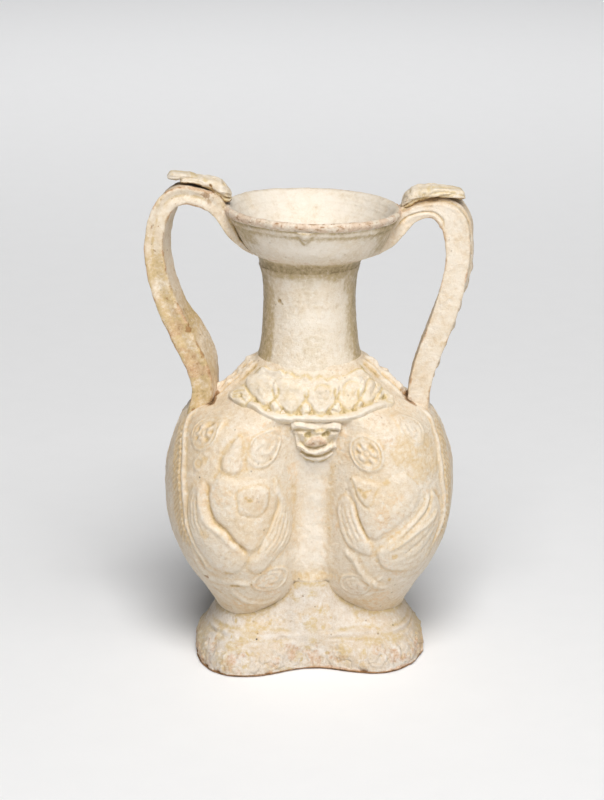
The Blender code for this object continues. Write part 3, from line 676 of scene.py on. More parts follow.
def motif_second(r):
    """Lobe with a rosette by the valley and a closed, heart-shaped palmette."""
    r.rosette(-6.4, 77.4, 7.1, 1.0, 1.1)
    r.roundel(16.6, 85.0, 6.0, 5.6, 0.3, 0.35, 0.45, 2)
    for ca, cb, rr in ((8.0, 76.0, 6.5), (14.0, 74.5, 6.4), (10.5, 80.0, 5.6), (15.5, 68.5, 6.0), (20.5, 78.0, 6.5), (22.5, 70.0, 5.0)):
        r.spot(ca, cb, rr, 0.15, pool=0.42, rust_and_shade=0.14)

    heart = [(-2.9, 64.6), (1.5, 67.9), (8.2, 68.5), (13.1, 63.4), (12.9, 57.9), (9.8, 52.8), (4.1, 48.8),
             (-1.2, 44.5), (-4.4, 42.0), (-8.0, 43.4), (-11.0, 48.0), (-12.4, 53.3), (-14.0, 58.0),
             (-15.6, 63.0), (-14.3, 67.2), (-9.5, 66.8)]
    r.plate(heart, 0.50, 2.0, 0.55, 0.0, 0.3)
    bud = [(-14.3, 66.9), (-13.0, 63.6), (-11.7, 59.2), (-8.8, 56.6), (-7.0, 57.4), (-4.9, 61.3),
           (-3.0, 64.3), (-6.0, 66.0), (-10.4, 66.0)]
    r.plate(bud, 0.42, 1.3, 0.25, 0.3, 0.3)
    r.groove([(-14.5, 67.6), (-13.2, 63.5), (-11.9, 59.1), (-8.8, 56.0), (-7.0, 57.0), (-4.9, 61.1),
              (-2.6, 64.6)], 0.50, 0.32, 0.60, fade=0.05)
    r.groove([(-12.4, 63.2), (-9.2, 61.9), (-5.8, 63.3)], 0.6, 0.35, 0.85)
    r.spot(-9.3, 60.4, 1.3, -0.2, pool=0.9)
    r.spot(-0.4, 66.2, 2.2, -0.1, pool=0.55)
    r.groove([(7.8, 69.2), (11.1, 66.5), (13.7, 63.0)], 0.38, 0.5, 0.6, fade=0.1)

    r.ridge([(18.3, 61.0), (16.5, 55.0), (12.8, 49.9), (7.4, 45.4), (2.2, 41.2), (-1.4, 38.0)], 0.95, 0.6, 0.5, 0.6)
    r.ridge([(23.1, 53.0), (17.0, 47.0), (9.2, 43.0), (3.4, 39.3), (-0.8, 36.0)], 0.7, 0.6, 0.4, 0.85)
    leaf = [(20.6, 59.2), (24.8, 52.8), (24.2, 44.9), (22.5, 37.5), (19.6, 31.5), (16.6, 28.8), (6.5, 27.2),
            (-0.2, 30.0), (-3.4, 36.0), (1.0, 39.6), (6.6, 43.4), (12.0, 46.8), (16.4, 50.8), (18.6, 55.6)]
    r.plate(leaf, 0.55, 1.3, 0.3, 0.45, 0.3)
    leaf_lines(r, [[(22.6, 50.6), (19.0, 44.0), (12.0, 38.6), (5.0, 34.0)],
                   [(23.0, 45.0), (19.0, 38.4), (12.4, 33.8), (6.0, 30.6)]], 0.55, 0.35, 0.35)
    r.groove([(20.8, 60.0), (25.2, 53.0), (24.8, 44.9), (23.0, 37.5), (19.9, 31.0), (16.8, 28.2)], 0.5, 0.55, 0.55)
    r.ridge([(17.8, 28.6), (12.0, 27.0), (6.2, 26.6)], 0.8, 0.45, 0.3)
    r.spot(3.2, 34.8, 1.5, -0.15, pool=0.9)

    left = [(-18.8, 58.6), (-22.2, 52.2), (-20.7, 45.6), (-16.5, 39.2), (-11.1, 36.2), (-6.0, 35.2),
            (-6.4, 40.4), (-9.8, 44.6), (-12.4, 48.6), (-13.8, 53.8), (-15.8, 58.0)]
    r.plate(left, 0.55, 1.2, 0.25, 0.4, 0.3)
    r.groove([(-14.6, 58.0), (-13.0, 52.8), (-11.2, 47.6), (-8.4, 43.0), (-6.8, 39.4)], 0.6, 0.5, 0.5)
    feather(r, [(-15.8, 58.0), (-13.8, 53.8), (-12.4, 48.6), (-9.8, 44.6), (-6.4, 40.4)],
            [(-18.8, 58.6), (-22.2, 52.2), (-20.7, 45.6), (-16.5, 39.2), (-11.1, 36.2)], (0.22, 0.48, 0.74), 0.42, 0.46, 0.45)
    r.ridge([(-17.9, 36.4), (-13.1, 32.8), (-8.8, 26.6), (-2.3, 19.4), (3.9, 15.4)], 1.2, 0.55, 0.35)
    r.roundel(-10.0, 18.2, 7.0, 5.4, math.atan2(-6.0, 13.0), 0.35, 0.4, 2)
    r.ridge([(2.0, 25.0), (-1.8, 21.0), (-2.4, 14.0), (-7.0, 10.4), (-14.0, 11.2)], 0.8, 0.3, 0.3)
    r.groove([(8.0, 22.6), (14.0, 21.4), (19.0, 22.6)], 0.9, 0.25, 0.35)
    r.spot(3.6, 22.0, 1.3, pool=0.7, rust_and_shade=0.35)

    border = [(33.5, 90.0), (31.6, 84.6), (29.4, 78.6), (28.0, 71.4), (28.0, 64.0), (28.8, 56.7), (28.6, 49.6),
              (26.6, 42.1), (22.8, 35.6), (18.4, 28.8)]
    flank_border(r, border)


def flank_border(r, border):
    """Rope border along the flank, with a hatched strip up to the mould seam."""
    r.ridge(border, 1.0, 0.66, 0.45, 0.7, fade=0.05)
    b = np.array(border)
    order = np.argsort(b[:, 1])
    edge = np.interp(r.b, b[order, 1], b[order, 0])
    past = r.a - edge
    on = smooth((past - 1.4) / 0.8) * smooth((r.b - 33) / 6) * smooth((88 - r.b) / 6)
    r.h += 0.55 * bump(past - 3.0, 0.8) * smooth((r.b - 33) / 6) * smooth((88 - r.b) / 6)
    hatch = np.cos(2 * math.pi * (r.b + 0.9 * past) / 2.3)
    strip = on * smooth((11.0 - past) / 2.0)
    r.h += 0.26 * hatch * strip
    r.pool = np.maximum(r.pool, strip * (0.42 + 0.36 * np.clip(-hatch, 0, 1)))
    r.rust_and_shade = np.maximum(r.rust_and_shade, 0.42 * strip * np.clip(-hatch, 0, 1))
    r.bare = np.maximum(r.bare, 0.34 * strip)
    r.high = np.maximum(r.high, strip * 0.3 * np.clip(hatch, 0, 1))


def body(side, half, motif, seed):
    node = "body_%s_%s" % ("left" if side < 0 else "right", "front" if half < 0 else "back")
    zd = np.linspace(16.2, 124.6, 3000)
    bd = table(BODY, zd, 3)
    vd = np.concatenate([[0.0], np.cumsum(np.hypot(np.diff(zd), np.diff(bd)))])
    vd -= np.interp(20.0, zd, vd)
    v_lo, v_hi = np.interp(22.0, zd, vd), np.interp(123.0, zd, vd)
    vs = np.concatenate([np.linspace(vd[0], v_lo, 8)[:-1], np.linspace(v_lo, v_hi, 262)[:-1],
                         np.linspace(v_hi, vd[-1], 6)])
    zs = np.interp(vs, vd, zd)
    ts = np.concatenate([np.linspace(0, 2.46, 250)[:-1], np.linspace(2.46, math.pi, 24)])
    Z, T = np.meshgrid(zs, ts, indexing="ij")
    X, Y = body_xy(Z, T)
    P = np.stack([side * X, half * Y, Z], -1)
    c = np.stack([side * np.full(Z.shape, 27.0), 0 * Z, np.clip(Z, 45, 85)], -1)
    N = grid_normals(P, P - c)

    # flat layout: arc from the front line, and arc up the front profile
    ds = np.hypot(np.diff(X, axis=1), np.diff(Y, axis=1))
    S = np.concatenate([np.zeros((len(zs), 1)), np.cumsum(ds, 1)], 1)
    k = int(np.argmin(np.abs(ts - math.pi / 2)))
    seam = S[:, k:k + 1].copy()
    S = S[:, k:k + 1] - S
    V = np.repeat(vs[:, None], len(ts), 1)
    # the hand of the mould: lines waver a little
    r = Relief(S + 0.48 * noise(P, 7.0, seed + 60) + 0.20 * noise(P, 2.3, seed + 61),
               V + 0.48 * noise(P, 7.0, seed + 62) + 0.20 * noise(P, 2.3, seed + 63))
    motif(r)
    window = smooth((seam - S) / 2.5) * smooth((V - 2.0) / 5.0) * smooth((97.0 - V) / 5.0)
    h = blur(r.grid("h"), 3) * window
    wear = 1.0 + 0.35 * lumps(P, 13.0, 2, seed + 3)
    h = 2.4 * np.tanh(1.45 * wear * h / 2.4)
    fine = 0.34 * lumps(P, (22.0, 22.0, 26.0), 2, 5) + 0.12 * lumps(P, 5.0, 2, 9)
    fine = fine + 0.075 * noise(P, 1.9, 23) + 0.045 * noise(P, 1.0, 24)
    h = h + fine
    # seam of the mould, and the bars that run from the neck to the handles
    gap = seam - S
    h += 0.35 * bump(gap, 0.7) * smooth((V - 8) / 10.0) * smooth((92 - V) / 8.0)
    bars = smooth((V - 92.0) / 4.0) * smooth((111.5 - V) / 3.0)
    tall = 1.25 if side * half > 0 else 1.75
    h += bars * (tall * bump(gap - 1.8, 1.7) + 0.95 * bump(gap - 6.4, 1.3) - 0.4 * bump(gap - 4.3, 0.8))
    h += bars * (0.45 * lumps(P, (7.0, 7.0, 4.0), 2, 27) * bump(gap - 3.5, 4.0) + 0.85 * lumps(P, 3.0, 2, 28) * bump(gap - 1.2, 2.2))
    P = P + N * h[..., None]
    P[:, 0, 1] = half * 0.02
    P[:, -1, 1] = half * 0.02

    soft = blur(h, 9)
    hollow = np.clip((soft - h) / 0.55, 0, 1)
    crest = np.clip((h - soft) / 0.42, 0, 1)
    pool = np.maximum(0.9 * blur(r.grid("pool"), 2) * window, 0.80 * hollow)
    pool = np.maximum(pool, bars * np.maximum(0.75 * bump(gap - 4.3, 0.9),
                                              0.95 * bump(gap - 8.8, 1.2) * smooth((V - 101.0) / 5.0)))
    # glaze gathers above the foot, and in cloudy patches
    pool = np.maximum(pool, 0.45 * bump(V - 5.0, 5.5) * (0.6 + 0.5 * noise(P, 7.0, seed)))
    cloud = smooth((lumps(P, 17.0, 3, seed + 40) - 0.02) / 0.6)
    pool = np.maximum(pool, 0.14 * cloud * smooth((V - 10) / 30))
    high = np.maximum(blur(r.grid("high"), 2) * window, 0.8 * crest)
    tan_ = smooth((lumps(P, 11.0, 3, seed + 44) - 0.0) / 0.6)
    bare = np.maximum.reduce([r.grid("bare") * window, 0.36 * tan_, 0.34 * cloud * smooth((V - 40) / 30), 0.42 * crest * smooth((lumps(P, 9.0, 2, seed + 8) - 0.05) / 0.5)])
    rust_and_shade = np.maximum(r.grid("rust_and_shade") * window, 0.20 * hollow * smooth((lumps(P, 8.0, 2, seed + 50) - 0.2) / 0.4))
    # dark brown at the root of each handle: painted shade of the hollow under the strap, with a rust stain
    root = np.hypot(X - 39.6, (Y - 4.6) * 0.62)
    rust_and_shade = np.maximum(rust_and_shade, 1.0 * smooth((4.3 + 1.2 * lumps(P, 3.0, 2, 57) - root) / 2.8) * smooth((V - 86) / 3.0))
    bare = np.maximum(bare, 0.4 * smooth((5.6 + 1.4 * lumps(P, 3.0, 2, 58) - root) / 2.6) * smooth((V - 86) / 3.0))
    fields = {"pool": pool, "high": high, "bare": bare, "rust_and_shade": rust_and_shade}

    rows, cols = Z.shape
    verts = [P.reshape(-1, 3)]
    faces = [grid_quads(rows, cols)]
    n0 = rows * cols
    zi = np.array([20.9, 24.0, 30.0, 38.0, 50.0, 63.0, 76.0, 88.0, 97.0, 103.0, 108.0, 115.0, 124.6])
    ti = np.linspace(0, math.pi, 48)
    ZI, TI = np.meshgrid(zi, ti, indexing="ij")
    XI, YI = body_xy(ZI, TI, 4.0)
    PI = np.stack([side * XI, half * np.maximum(YI, 0.02), ZI], -1)
    verts.append(PI.reshape(-1, 3))
    faces.append(grid_quads(len(zi), len(ti), n0))
    pole = n0 + len(zi) * len(ti)
    verts.append(np.array([[side * 27.0, half * 0.02, 15.6], [side * 27.0, half * 0.02, 20.6]]))
    out0 = list(range(cols))
    in0 = [n0 + k for k in range(len(ti))]
    tri = [(out0[k], out0[k + 1], pole) for k in range(cols - 1)]
    tri += [(in0[k], in0[k + 1], pole + 1) for k in range(len(ti) - 1)]
    tri += zipper([(rows - 1) * cols + k for k in range(cols)],
                  [n0 + (len(zi) - 1) * len(ti) + k for k in range(len(ti))])
    for oc, ic in ((0, 0), (cols - 1, len(ti) - 1)):
        tri += zipper([pole] + [j * cols + oc for j in range(rows)],
                      [pole + 1] + [n0 + j * len(ti) + ic for j in range(len(zi))])
    faces.append(tri)
    return piece(node, GLAZE_BODY, np.concatenate(verts), faces, fields)


body(-1, -1, motif_first, 101)
body(1, -1, motif_second, 202)
body(1, 1, motif_first, 303)
body(-1, 1, motif_second, 404)


# ------------------------------------------------------------ valley fillets
FOOT_FLARE = [(0.0, 0.0), (0.19, 0.21), (0.36, 0.44), (0.51, 0.67),
              (0.645, 0.86), (0.85, 0.97), (1.0, 1.0)]
FOOT_WAIST = 27.6


def soft_max(a, b, k):
    h = np.clip(0.5 + 0.5 * (a - b) / k, 0, 1)
    return b + (a - b) * h + k * h * (1 - h)


def foot_middle(f, depth):
    """Floor line and crease of the foot from the lobe (f=0) to the middle (f=1)."""
    floor_y = 0.5 * (depth + FOOT_WAIST) + 0.5 * (depth - FOOT_WAIST) * np.cos(math.pi * f)
    crease_y = 16.4 - 0.8 * np.sin(math.pi * f) + 4.3 * smooth((f - 0.52) / 0.48)
    return floor_y, crease_y


def fillet(half):
    node = "groove_fillet_" + ("front" if half < 0 else "back")
    zs = np.linspace(26.0, 109.0, 260)
    us = np.linspace(-1, 1, 150)
    xf = np.linspace(0.3, 26.0, 600)
    face = table(FILLET, zs) - 0.7 * bump(zs - 39.0, 4.0)
    depth = lobe_depth(xf[None, :], zs[:, None])
    b = table(BODY, zs, 3)
    k = np.clip(0.75 * (b - face), 1.2, 3.6)
    over = depth > (face + 0.96 * k)[:, None]
    reach = np.where(over.any(1), xf[np.argmax(over, 1)], 9.0)
    reach = np.clip(blur(np.repeat(reach[:, None], 3, 1), 16)[:, 1], 5.0, 12.5) / 0.74
    Z, U = np.meshgrid(zs, us, indexing="ij")
    X = U * reach[:, None]
    lobe = lobe_depth(X, Z)
    low = smooth((44.0 - Z) / 14.0)
    flat = face[:, None] - 0.075 * X ** 2 * low - 0.006 * X ** 2
    Y = soft_max(lobe, flat, k[:, None])
    # the sides sink into the bodies, the lower end into the foot
    Y = Y - 0.75 * smooth((np.abs(U) - 0.68) / 0.32) - 2.6 * smooth((35.6 - Z) / 5.0)
    P = np.stack([X, half * Y, Z], -1)
    N = grid_normals(P, np.stack([0 * X, half * np.ones_like(X), 0 * X], -1))
    # same skin as the bodies, with wiping strokes down the valley
    mid = smooth((0.70 - np.abs(U)) / 0.4)
    h = 0.34 * lumps(P, (22.0, 22.0, 26.0), 2, 5) + 0.12 * lumps(P, 5.0, 2, 9)
    h = h + 0.075 * noise(P, 1.9, 23) + 0.045 * noise(P, 1.0, 24)
    h = h + mid * (0.16 * lumps(P, (1.9, 30.0, 34.0), 2, 61) + 0.10 * lumps(P, (5.0, 9.0, 9.0), 2, 62))
    P = P + N * h[..., None]
    B = np.stack([X, half * (Y - 3.4), Z], -1)
    soft = blur(h, 8)
    side = bump(np.abs(U) - 0.56, 0.15) * (0.75 + 0.6 * lumps(P, (4.0, 9.0, 12.0), 2, 63))
    # painted shade with pooled glaze in the hollow above the apron; painted highlight down the middle of the valley
    # band
    fields = {"pool": np.maximum.reduce([0.30 * np.clip((soft - h) / 0.2, 0, 1), 0.34 * side, 0.42 * bump(Z - 37.0, 3.2)]),
              "high": 0.95 * smooth((0.50 - np.abs(U)) / 0.35) * smooth((Z - 38) / 6) + 0.3 * np.clip((h - soft) / 0.15, 0, 1)}
    return slab(node, GLAZE_BODY, P, B, fields)


fillet(-1)
fillet(1)


# ---------------------------------------------------------------------- foot
def foot_side(corner, depth, n_flank, n_mid):
    """Floor outline, crease under the body and seat, from one flank to the middle."""
    a = np.linspace(0, math.pi / 2, n_flank, endpoint=False)
    fx = 25.0 + 21.9 * power(np.cos(a), corner)
    fy = depth * power(np.sin(a), corner)
    w, x_in, b, c = (float(q) for q in body_row(20.0))
    cx, cy = c + (w - c) * np.cos(a), b * np.sin(a)
    sx, sy = c + (w - c - 3.0) * np.cos(a), (b - 3.0) * np.sin(a)
    f = np.linspace(0, 1, n_mid)
    my_floor, my = foot_middle(f, depth)
    fx = np.concatenate([fx, 25.0 * (1 - f)])
    fy = np.concatenate([fy, my_floor])
    mx = 26.8 * (1 - f)
    cx, cy = np.concatenate([cx, mx]), np.concatenate([cy, my])
    sx, sy = np.concatenate([sx, mx]), np.concatenate([sy, my - 3.2 - 1.5 * f])
    cz = body_underside(cx, cy, 34.0) + 0.5
    sz = body_underside(sx, sy, 34.0) + 0.8
    return np.stack([fx, fy], -1), np.stack([cx, cy, cz], -1), np.stack([sx, sy, sz], -1)


def foot(half):
    node = "foot_" + ("front" if half < 0 else "back")
    first, second = (2.0, 34.2), (2.6, 35.3)
    right, left = (first, second) if half < 0 else (second, first)
    fr, cr, sr = foot_side(*right, 130, 120)
    fl, cl, sl = foot_side(*left, 130, 120)
    flip2, flip3 = np.array([-1, 1]), np.array([-1, 1, 1])
    F = np.concatenate([fr, (fl * flip2)[:-1][::-1]])
    C = np.concatenate([cr, (cl * flip3)[:-1][::-1]])
    # the top of the apron falls off evenly to the bodies, inside them
    crease = C[:, 2].copy()
    for reach in (64, 40, 16):
        C[:, 2] = np.maximum(C[:, 2] if reach > 16 else 0, blur(np.repeat(C[:, 2:3], 3, 1), reach)[:, 1])
    S = np.concatenate([sr, (sl * flip3)[:-1][::-1]])
    down = np.concatenate([np.linspace(0, 0.86, 96)[:-1], np.linspace(0.86, 0.985, 22)])
    out = table(FOOT_FLARE, down)
    D = down[:, None]
    O = out[:, None]
    X = C[None, :, 0] + (F - C[:, :2])[None, :, 0] * O
    Y = C[None, :, 1] + (F - C[:, :2])[None, :, 1] * O
    Z = C[None, :, 2] * (1 - D)
    P = np.stack([X, half * Y, Z], -1)
    ref = np.stack([0.6 * X, 0 * Y, Z - 6.0], -1)
    N = grid_normals(P, P - ref)
    step = np.hypot(np.diff(F[:, 0]), np.diff(F[:, 1]))
    run = np.concatenate([[0.0], np.cumsum(step)])
    run = np.repeat((run - run[len(run) // 2])[None, :], len(down), 0)   # + is towards the left
    rw = run + 0.5 * noise(P, 6.0, 171) + 0.3 * noise(P, 2.2, 172)
    zw = Z + 0.45 * noise(P, 9.0, 173) + 0.25 * noise(P, 2.4, 174)
    r = Relief(rw, zw)
    centre = np.abs(X)
    wear = np.clip(0.75 + 0.75 * lumps(P, 9.0, 2, 175), 0.12, 1.4).ravel()
    lobe = (smooth((centre - 3.0) / 9.0) * smooth((44.0 - centre) / 4.0)).ravel() * wear

    # border lines round the foot, beaded band above, worn roundels below
    z = zw.ravel()
    r.h += lobe * (0.55 * bump(z - 13.9, 0.6) - 0.30 * bump(z - 12.6, 0.5) + 0.30 * bump(z - 11.6, 0.55)
                   - 0.28 * bump(z - 15.3, 0.6))
    r.high = np.maximum(r.high, lobe * 0.6 * bump(z - 13.9, 0.5))
    r.pool = np.maximum(r.pool, lobe * 0.35 * bump(z - 12.6, 0.5) + lobe * 0.4 * bump(z - 15.5, 0.8))
    bead = np.cos(2 * math.pi * r.a / 2.4) * np.cos(2 * math.pi * (z - 17.4) / 2.5)
    band = lobe * smooth((z - 15.6) / 0.8) * smooth((21.2 - z) / 1.6)
    band = band * np.clip(0.35 + 0.9 * lumps(P, 7.0, 2, 176).ravel(), 0, 1)
    r.h += 0.15 * np.clip(bead, -0.4, 1) * band
    r.pool = np.maximum(r.pool, 0.30 * np.clip(-bead, 0, 1) * band)
    rng = np.random.default_rng(17 if half < 0 else 23)
    for k in range(-6, 7):
        ca = 8.6 * k + rng.uniform(-0.8, 0.8)
        cb = 6.4 + rng.uniform(-0.6, 0.6)
        idx, q, ang = r.disc(ca, cb, 3.9, 4.1)
        worn = rng.uniform(0.15, 0.75)
        r.h[idx] += worn * (0.38 * bump(q - 0.92, 0.13) + 0.28 * bump(q - 0.5, 0.2) * np.cos(5 * ang)
                            + 0.26 * bump(q, 0.3))
        r.pool[idx] = np.maximum(r.pool[idx], 0.30 * worn * bump(q - 0.74, 0.1))
        r.bare[idx] = np.maximum(r.bare[idx], rng.uniform(0.10, 0.60) * smooth((0.95 - q) / 0.5))
    for k in range(26):
        r.spot(rng.uniform(-46, 46), rng.uniform(1.5, 21.0), rng.uniform(0.5, 1.6), -0.12,
               pool=rng.uniform(0.25, 0.75), rb=rng.uniform(0.4, 1.2), turn=rng.uniform(0, 3))
    for k in range(14):
        r.spot(rng.uniform(-52, 52), rng.uniform(0.8, 7.0), rng.uniform(0.7, 2.0), -0.10,
               bare=rng.uniform(0.2, 0.6), rust_and_shade=rng.uniform(0.1, 0.42), rb=rng.uniform(0.5, 1.2))
    h = r.grid("h") + 0.36 * lumps(P, 8.0, 3, 71) * smooth((27 - Z) / 8.0)
    h += 0.30 * lumps(P, 2.4, 2, 72) * smooth((12.5 - Z) / 4.0)
    h += 0.40 * smooth((lumps(P, 3.4, 2, 84) - 0.05) / 0.3) * smooth((11.0 - Z) / 3.0)
    h += 0.075 * noise(P, 1.9, 23) + 0.045 * noise(P, 1.0, 24)
    # chipped lower edge
    chip = smooth((lumps(P * np.array([1, 1, 0.2]), 6.0, 2, 75) - 0.35) / 0.4) * smooth((2.4 - Z) / 2.0)
    h -= 0.9 * chip + 0.55 * smooth((1.0 - Z) / 1.0)
    h *= smooth((Z - 0.15) / 0.7)
    P = P + N * h[..., None]
    P[..., 2] = np.maximum(P[..., 2], 0.0)
    P[:, 0, 1] = half * 0.02
    P[:, -1, 1] = half * 0.02
    soft = blur(h, 6)
    hollow = np.clip((soft - h) / 0.34, 0, 1)
    crest = np.clip((h - soft) / 0.28, 0, 1)
    edge = smooth((1.5 + 1.2 * lumps(P, 9.0, 2, 77) - Z) / 1.3)
    patch = smooth((lumps(P, 5.0, 3, 79) - 0.0) / 0.6) * smooth((14.5 - Z) / 4.0)
    # pooled glaze and painted shade on the flanks of the foot; bare clay low on them
    flank = smooth((centre - 40.0) / 5.0)
    # painted shade along the crease under the bodies, in pooled glaze and rust colours
    crackle_and_crease_shade = smooth((Z - crease[None, :] + 3.0) / 3.0)
    fields = {
        "pool": np.maximum.reduce([r.grid("pool"), 0.55 * hollow, 0.55 * crackle_and_crease_shade, 0.46 * flank, 0.40 * smooth((lumps(P, 6.0, 3, 85) - 0.1) / 0.5)]) * (1 - 0.6 * edge),
        "high": np.maximum(r.grid("high"), 0.6 * crest),
        "bare": np.maximum.reduce([r.grid("bare"), 0.95 * edge, 0.50 * patch, chip, 0.55 * flank * smooth((10 - Z) / 6)]),
        "rust_and_shade": np.maximum.reduce([r.grid("rust_and_shade"), 0.40 * edge * smooth((lumps(P, 4.0, 2, 81) - 0.05) / 0.5),
                                   # dark clay along the bottom edge with a painted contact shadow; painted shade in the
                                   # crease under the bodies
                                   0.92 * smooth((1.5 - Z) / 0.9), 0.25 * crackle_and_crease_shade * smooth((lumps(P, 6.0, 2, 83) - 0.1) / 0.4)]),
    }
    # underside ring and the hollow under the bodies
    rows, cols = Z.shape
    tx = np.gradient(F, axis=0)
    tx[0], tx[-1] = (0.0, 1.0), (0.0, -1.0)
    inward = np.stack([-tx[:, 1], tx[:, 0]], -1)
    inward /= np.linalg.norm(inward, axis=1, keepdims=True)
    inward *= np.where((inward * F).sum(1, keepdims=True) > 0, -1, 1)
    M = C[:, :2] + (F - C[:, :2]) * 0.52

    def ring(xy, zz):
        y = np.maximum(xy[:, 1], 0.02)
        y[0] = y[-1] = 0.02
        return np.stack([xy[:, 0], half * y, np.broadcast_to(zz, xy.shape[:1])], -1)

    extra = [ring(F + inward * 1.0, 0.0), ring(F + inward * 6.0, 0.0),
             ring(M + inward * 5.0, 0.5 * S[:, 2]), ring(S[:, :2], S[:, 2])]
    G = np.concatenate([P, np.stack(extra)])
    total = G.shape[0]
    faces = [grid_quads(total, cols)]
    faces.append(np.array([[(total - 1) * cols + c, (total - 1) * cols + c + 1, c + 1, c] for c in range(cols - 1)]))
    caps = [tuple(j * cols for j in range(total)), tuple(j * cols + cols - 1 for j in range(total))]
    ob_fields = {k: np.concatenate([np.asarray(v), np.ones((4, cols)) if k == "bare" else np.zeros((4, cols))])
                 for k, v in fields.items()}
    return piece(node, FOOT_CLAY, G.reshape(-1, 3), faces + [caps], ob_fields)


foot(-1)
foot(1)

# ------------------------------------------------------------- neck and dish
BORE_R = 14.5
NECK_OUT = [(161.6, 20.1), (158.0, 19.0), (154.0, 18.55), (147.0, 18.3), (138.0, 18.7),
            (131.0, 19.3), (127.0, 20.0), (124.9, 20.6), (123.2, 21.0), (121.2, 21.1)]
DISH_OUT = [(161.3, 19.9), (163.4, 20.4), (165.2, 21.6), (166.5, 23.4), (167.4, 25.2), (168.6, 26.9), (170.4, 28.3),
            (172.8, 29.6), (175.6, 30.9), (178.2, 32.1), (180.0, 33.0), (181.1, 33.5), (182.2, 34.9), (183.6, 35.3), (184.5, 34.7)]
DISH_IN = [(184.5, 32.8), (183.0, 31.4), (180.4, 29.6), (176.5, 27.0), (172.0, 23.6), (168.5, 18.6), (166.6, BORE_R),
           (161.3, BORE_R)]


def along(points, count, power_of=1.0):
    """Points spaced evenly on a smooth curve through a profile."""
    c = curve(points, False, 14)
    acc = np.concatenate([[0.0], np.cumsum(np.hypot(*np.diff(c, axis=0).T))])
    u = np.linspace(0, 1, count) * acc[-1]
    return np.stack([np.interp(u, acc, c[:, 0]), np.interp(u, acc, c[:, 1])], -1)


def turned(profile, count):
    a = np.linspace(0, 2 * math.pi, count, endpoint=False)
    Z = np.repeat(profile[:, 0][:, None], count, 1)
    R = np.repeat(profile[:, 1][:, None], count, 1)
    A = np.repeat(a[None, :], len(profile), 0)
    return Z, R, A


def turned_faces(rows, cols):
    faces = grid_quads(rows, cols, 0, True)
    c = np.arange(cols)
    last = np.stack([(rows - 1) * cols + c, (rows - 1) * cols + (c + 1) % cols, (c + 1) % cols, c], -1)
    return [faces, last]


def neck():
    outer = along(NECK_OUT, 150)
    inner = along([(121.2, BORE_R), (142.0, BORE_R), (161.6, BORE_R)], 24)
    prof = np.concatenate([outer, inner])
    Z, R, A = turned(prof, 260)
    P = np.stack([R * np.cos(A), R * np.sin(A), Z], -1)
    n = np.stack([np.cos(A), np.sin(A), 0 * A], -1)
    n[len(outer):] *= -1
    r = Relief((A * 18.5)[:len(outer)], Z[:len(outer)])
    front = 1.5 * math.pi * 18.5
    r.spot(front - 13.6, 149.5, 1.3, -0.5, pool=0.8, rust_and_shade=0.55)
    r.spot(front - 12.4, 148.6, 0.7, -0.35, pool=0.5)
    for dx, z, w in ((16.0, 156.0, 3.0), (-19.0, 150.0, 4.0), (21.0, 139.0, 4.5), (-22.0, 134.0, 4.5)):
        r.spot(front + dx, z, w, pool=0.40, rb=w * 2.2)
    h = np.zeros_like(Z)
    h[:len(outer)] = r.grid("h")
    h += 0.24 * lumps(P, (15.0, 15.0, 20.0), 2, 31) + 0.07 * lumps(P, 3.0, 2, 33) + 0.03 * noise(P, 1.1, 23)
    h += 0.018 * np.cos(2 * math.pi * Z / 3.1 + 2.4 * lumps(P, 20.0, 2, 35))
    h *= smooth((161.4 - Z) / 2.0) * smooth((Z - 122.0) / 8.0)
    P = P + n * h[..., None]
    side = np.abs(np.cos(A))
    cloud = lumps(P, (9.0, 9.0, 24.0), 3, 37)
    # painted shade on the left and right sides of the neck, partly olive glaze
    pool = 0.98 * smooth((side - 0.62 - 0.14 * cloud) / 0.34) * (0.82 + 0.25 * cloud)
    # painted shadow of the dish over the top of the neck
    pool = np.maximum(pool, 0.66 * smooth((Z - 155.5 - 2.0 * lumps(P, 9.0, 2, 36)) / 5.0))
    pool = np.maximum(pool, 0.16 * smooth((130.5 - Z) / 6.0) * (0.7 + 0.6 * lumps(P, 7.0, 2, 38)))
    pool = np.maximum(pool, 0.20 * smooth((lumps(P, 10.0, 3, 34) - 0.1) / 0.5))
    pool[:len(outer)] = np.maximum(pool[:len(outer)], r.grid("pool"))
    rust_and_shade = np.zeros_like(Z)
    rust_and_shade[:len(outer)] = r.grid("rust_and_shade")
    # painted light down the front and back of the neck
    fields = {"pool": pool, "high": 0.60 * smooth((0.80 - side) / 0.4) * smooth((lumps(P, 11.0, 2, 39) + 0.2) / 0.6),
              "bare": 0 * h, "rust_and_shade": rust_and_shade}
    piece("neck", GLAZE_NECK, P.reshape(-1, 3), turned_faces(*Z.shape), fields)


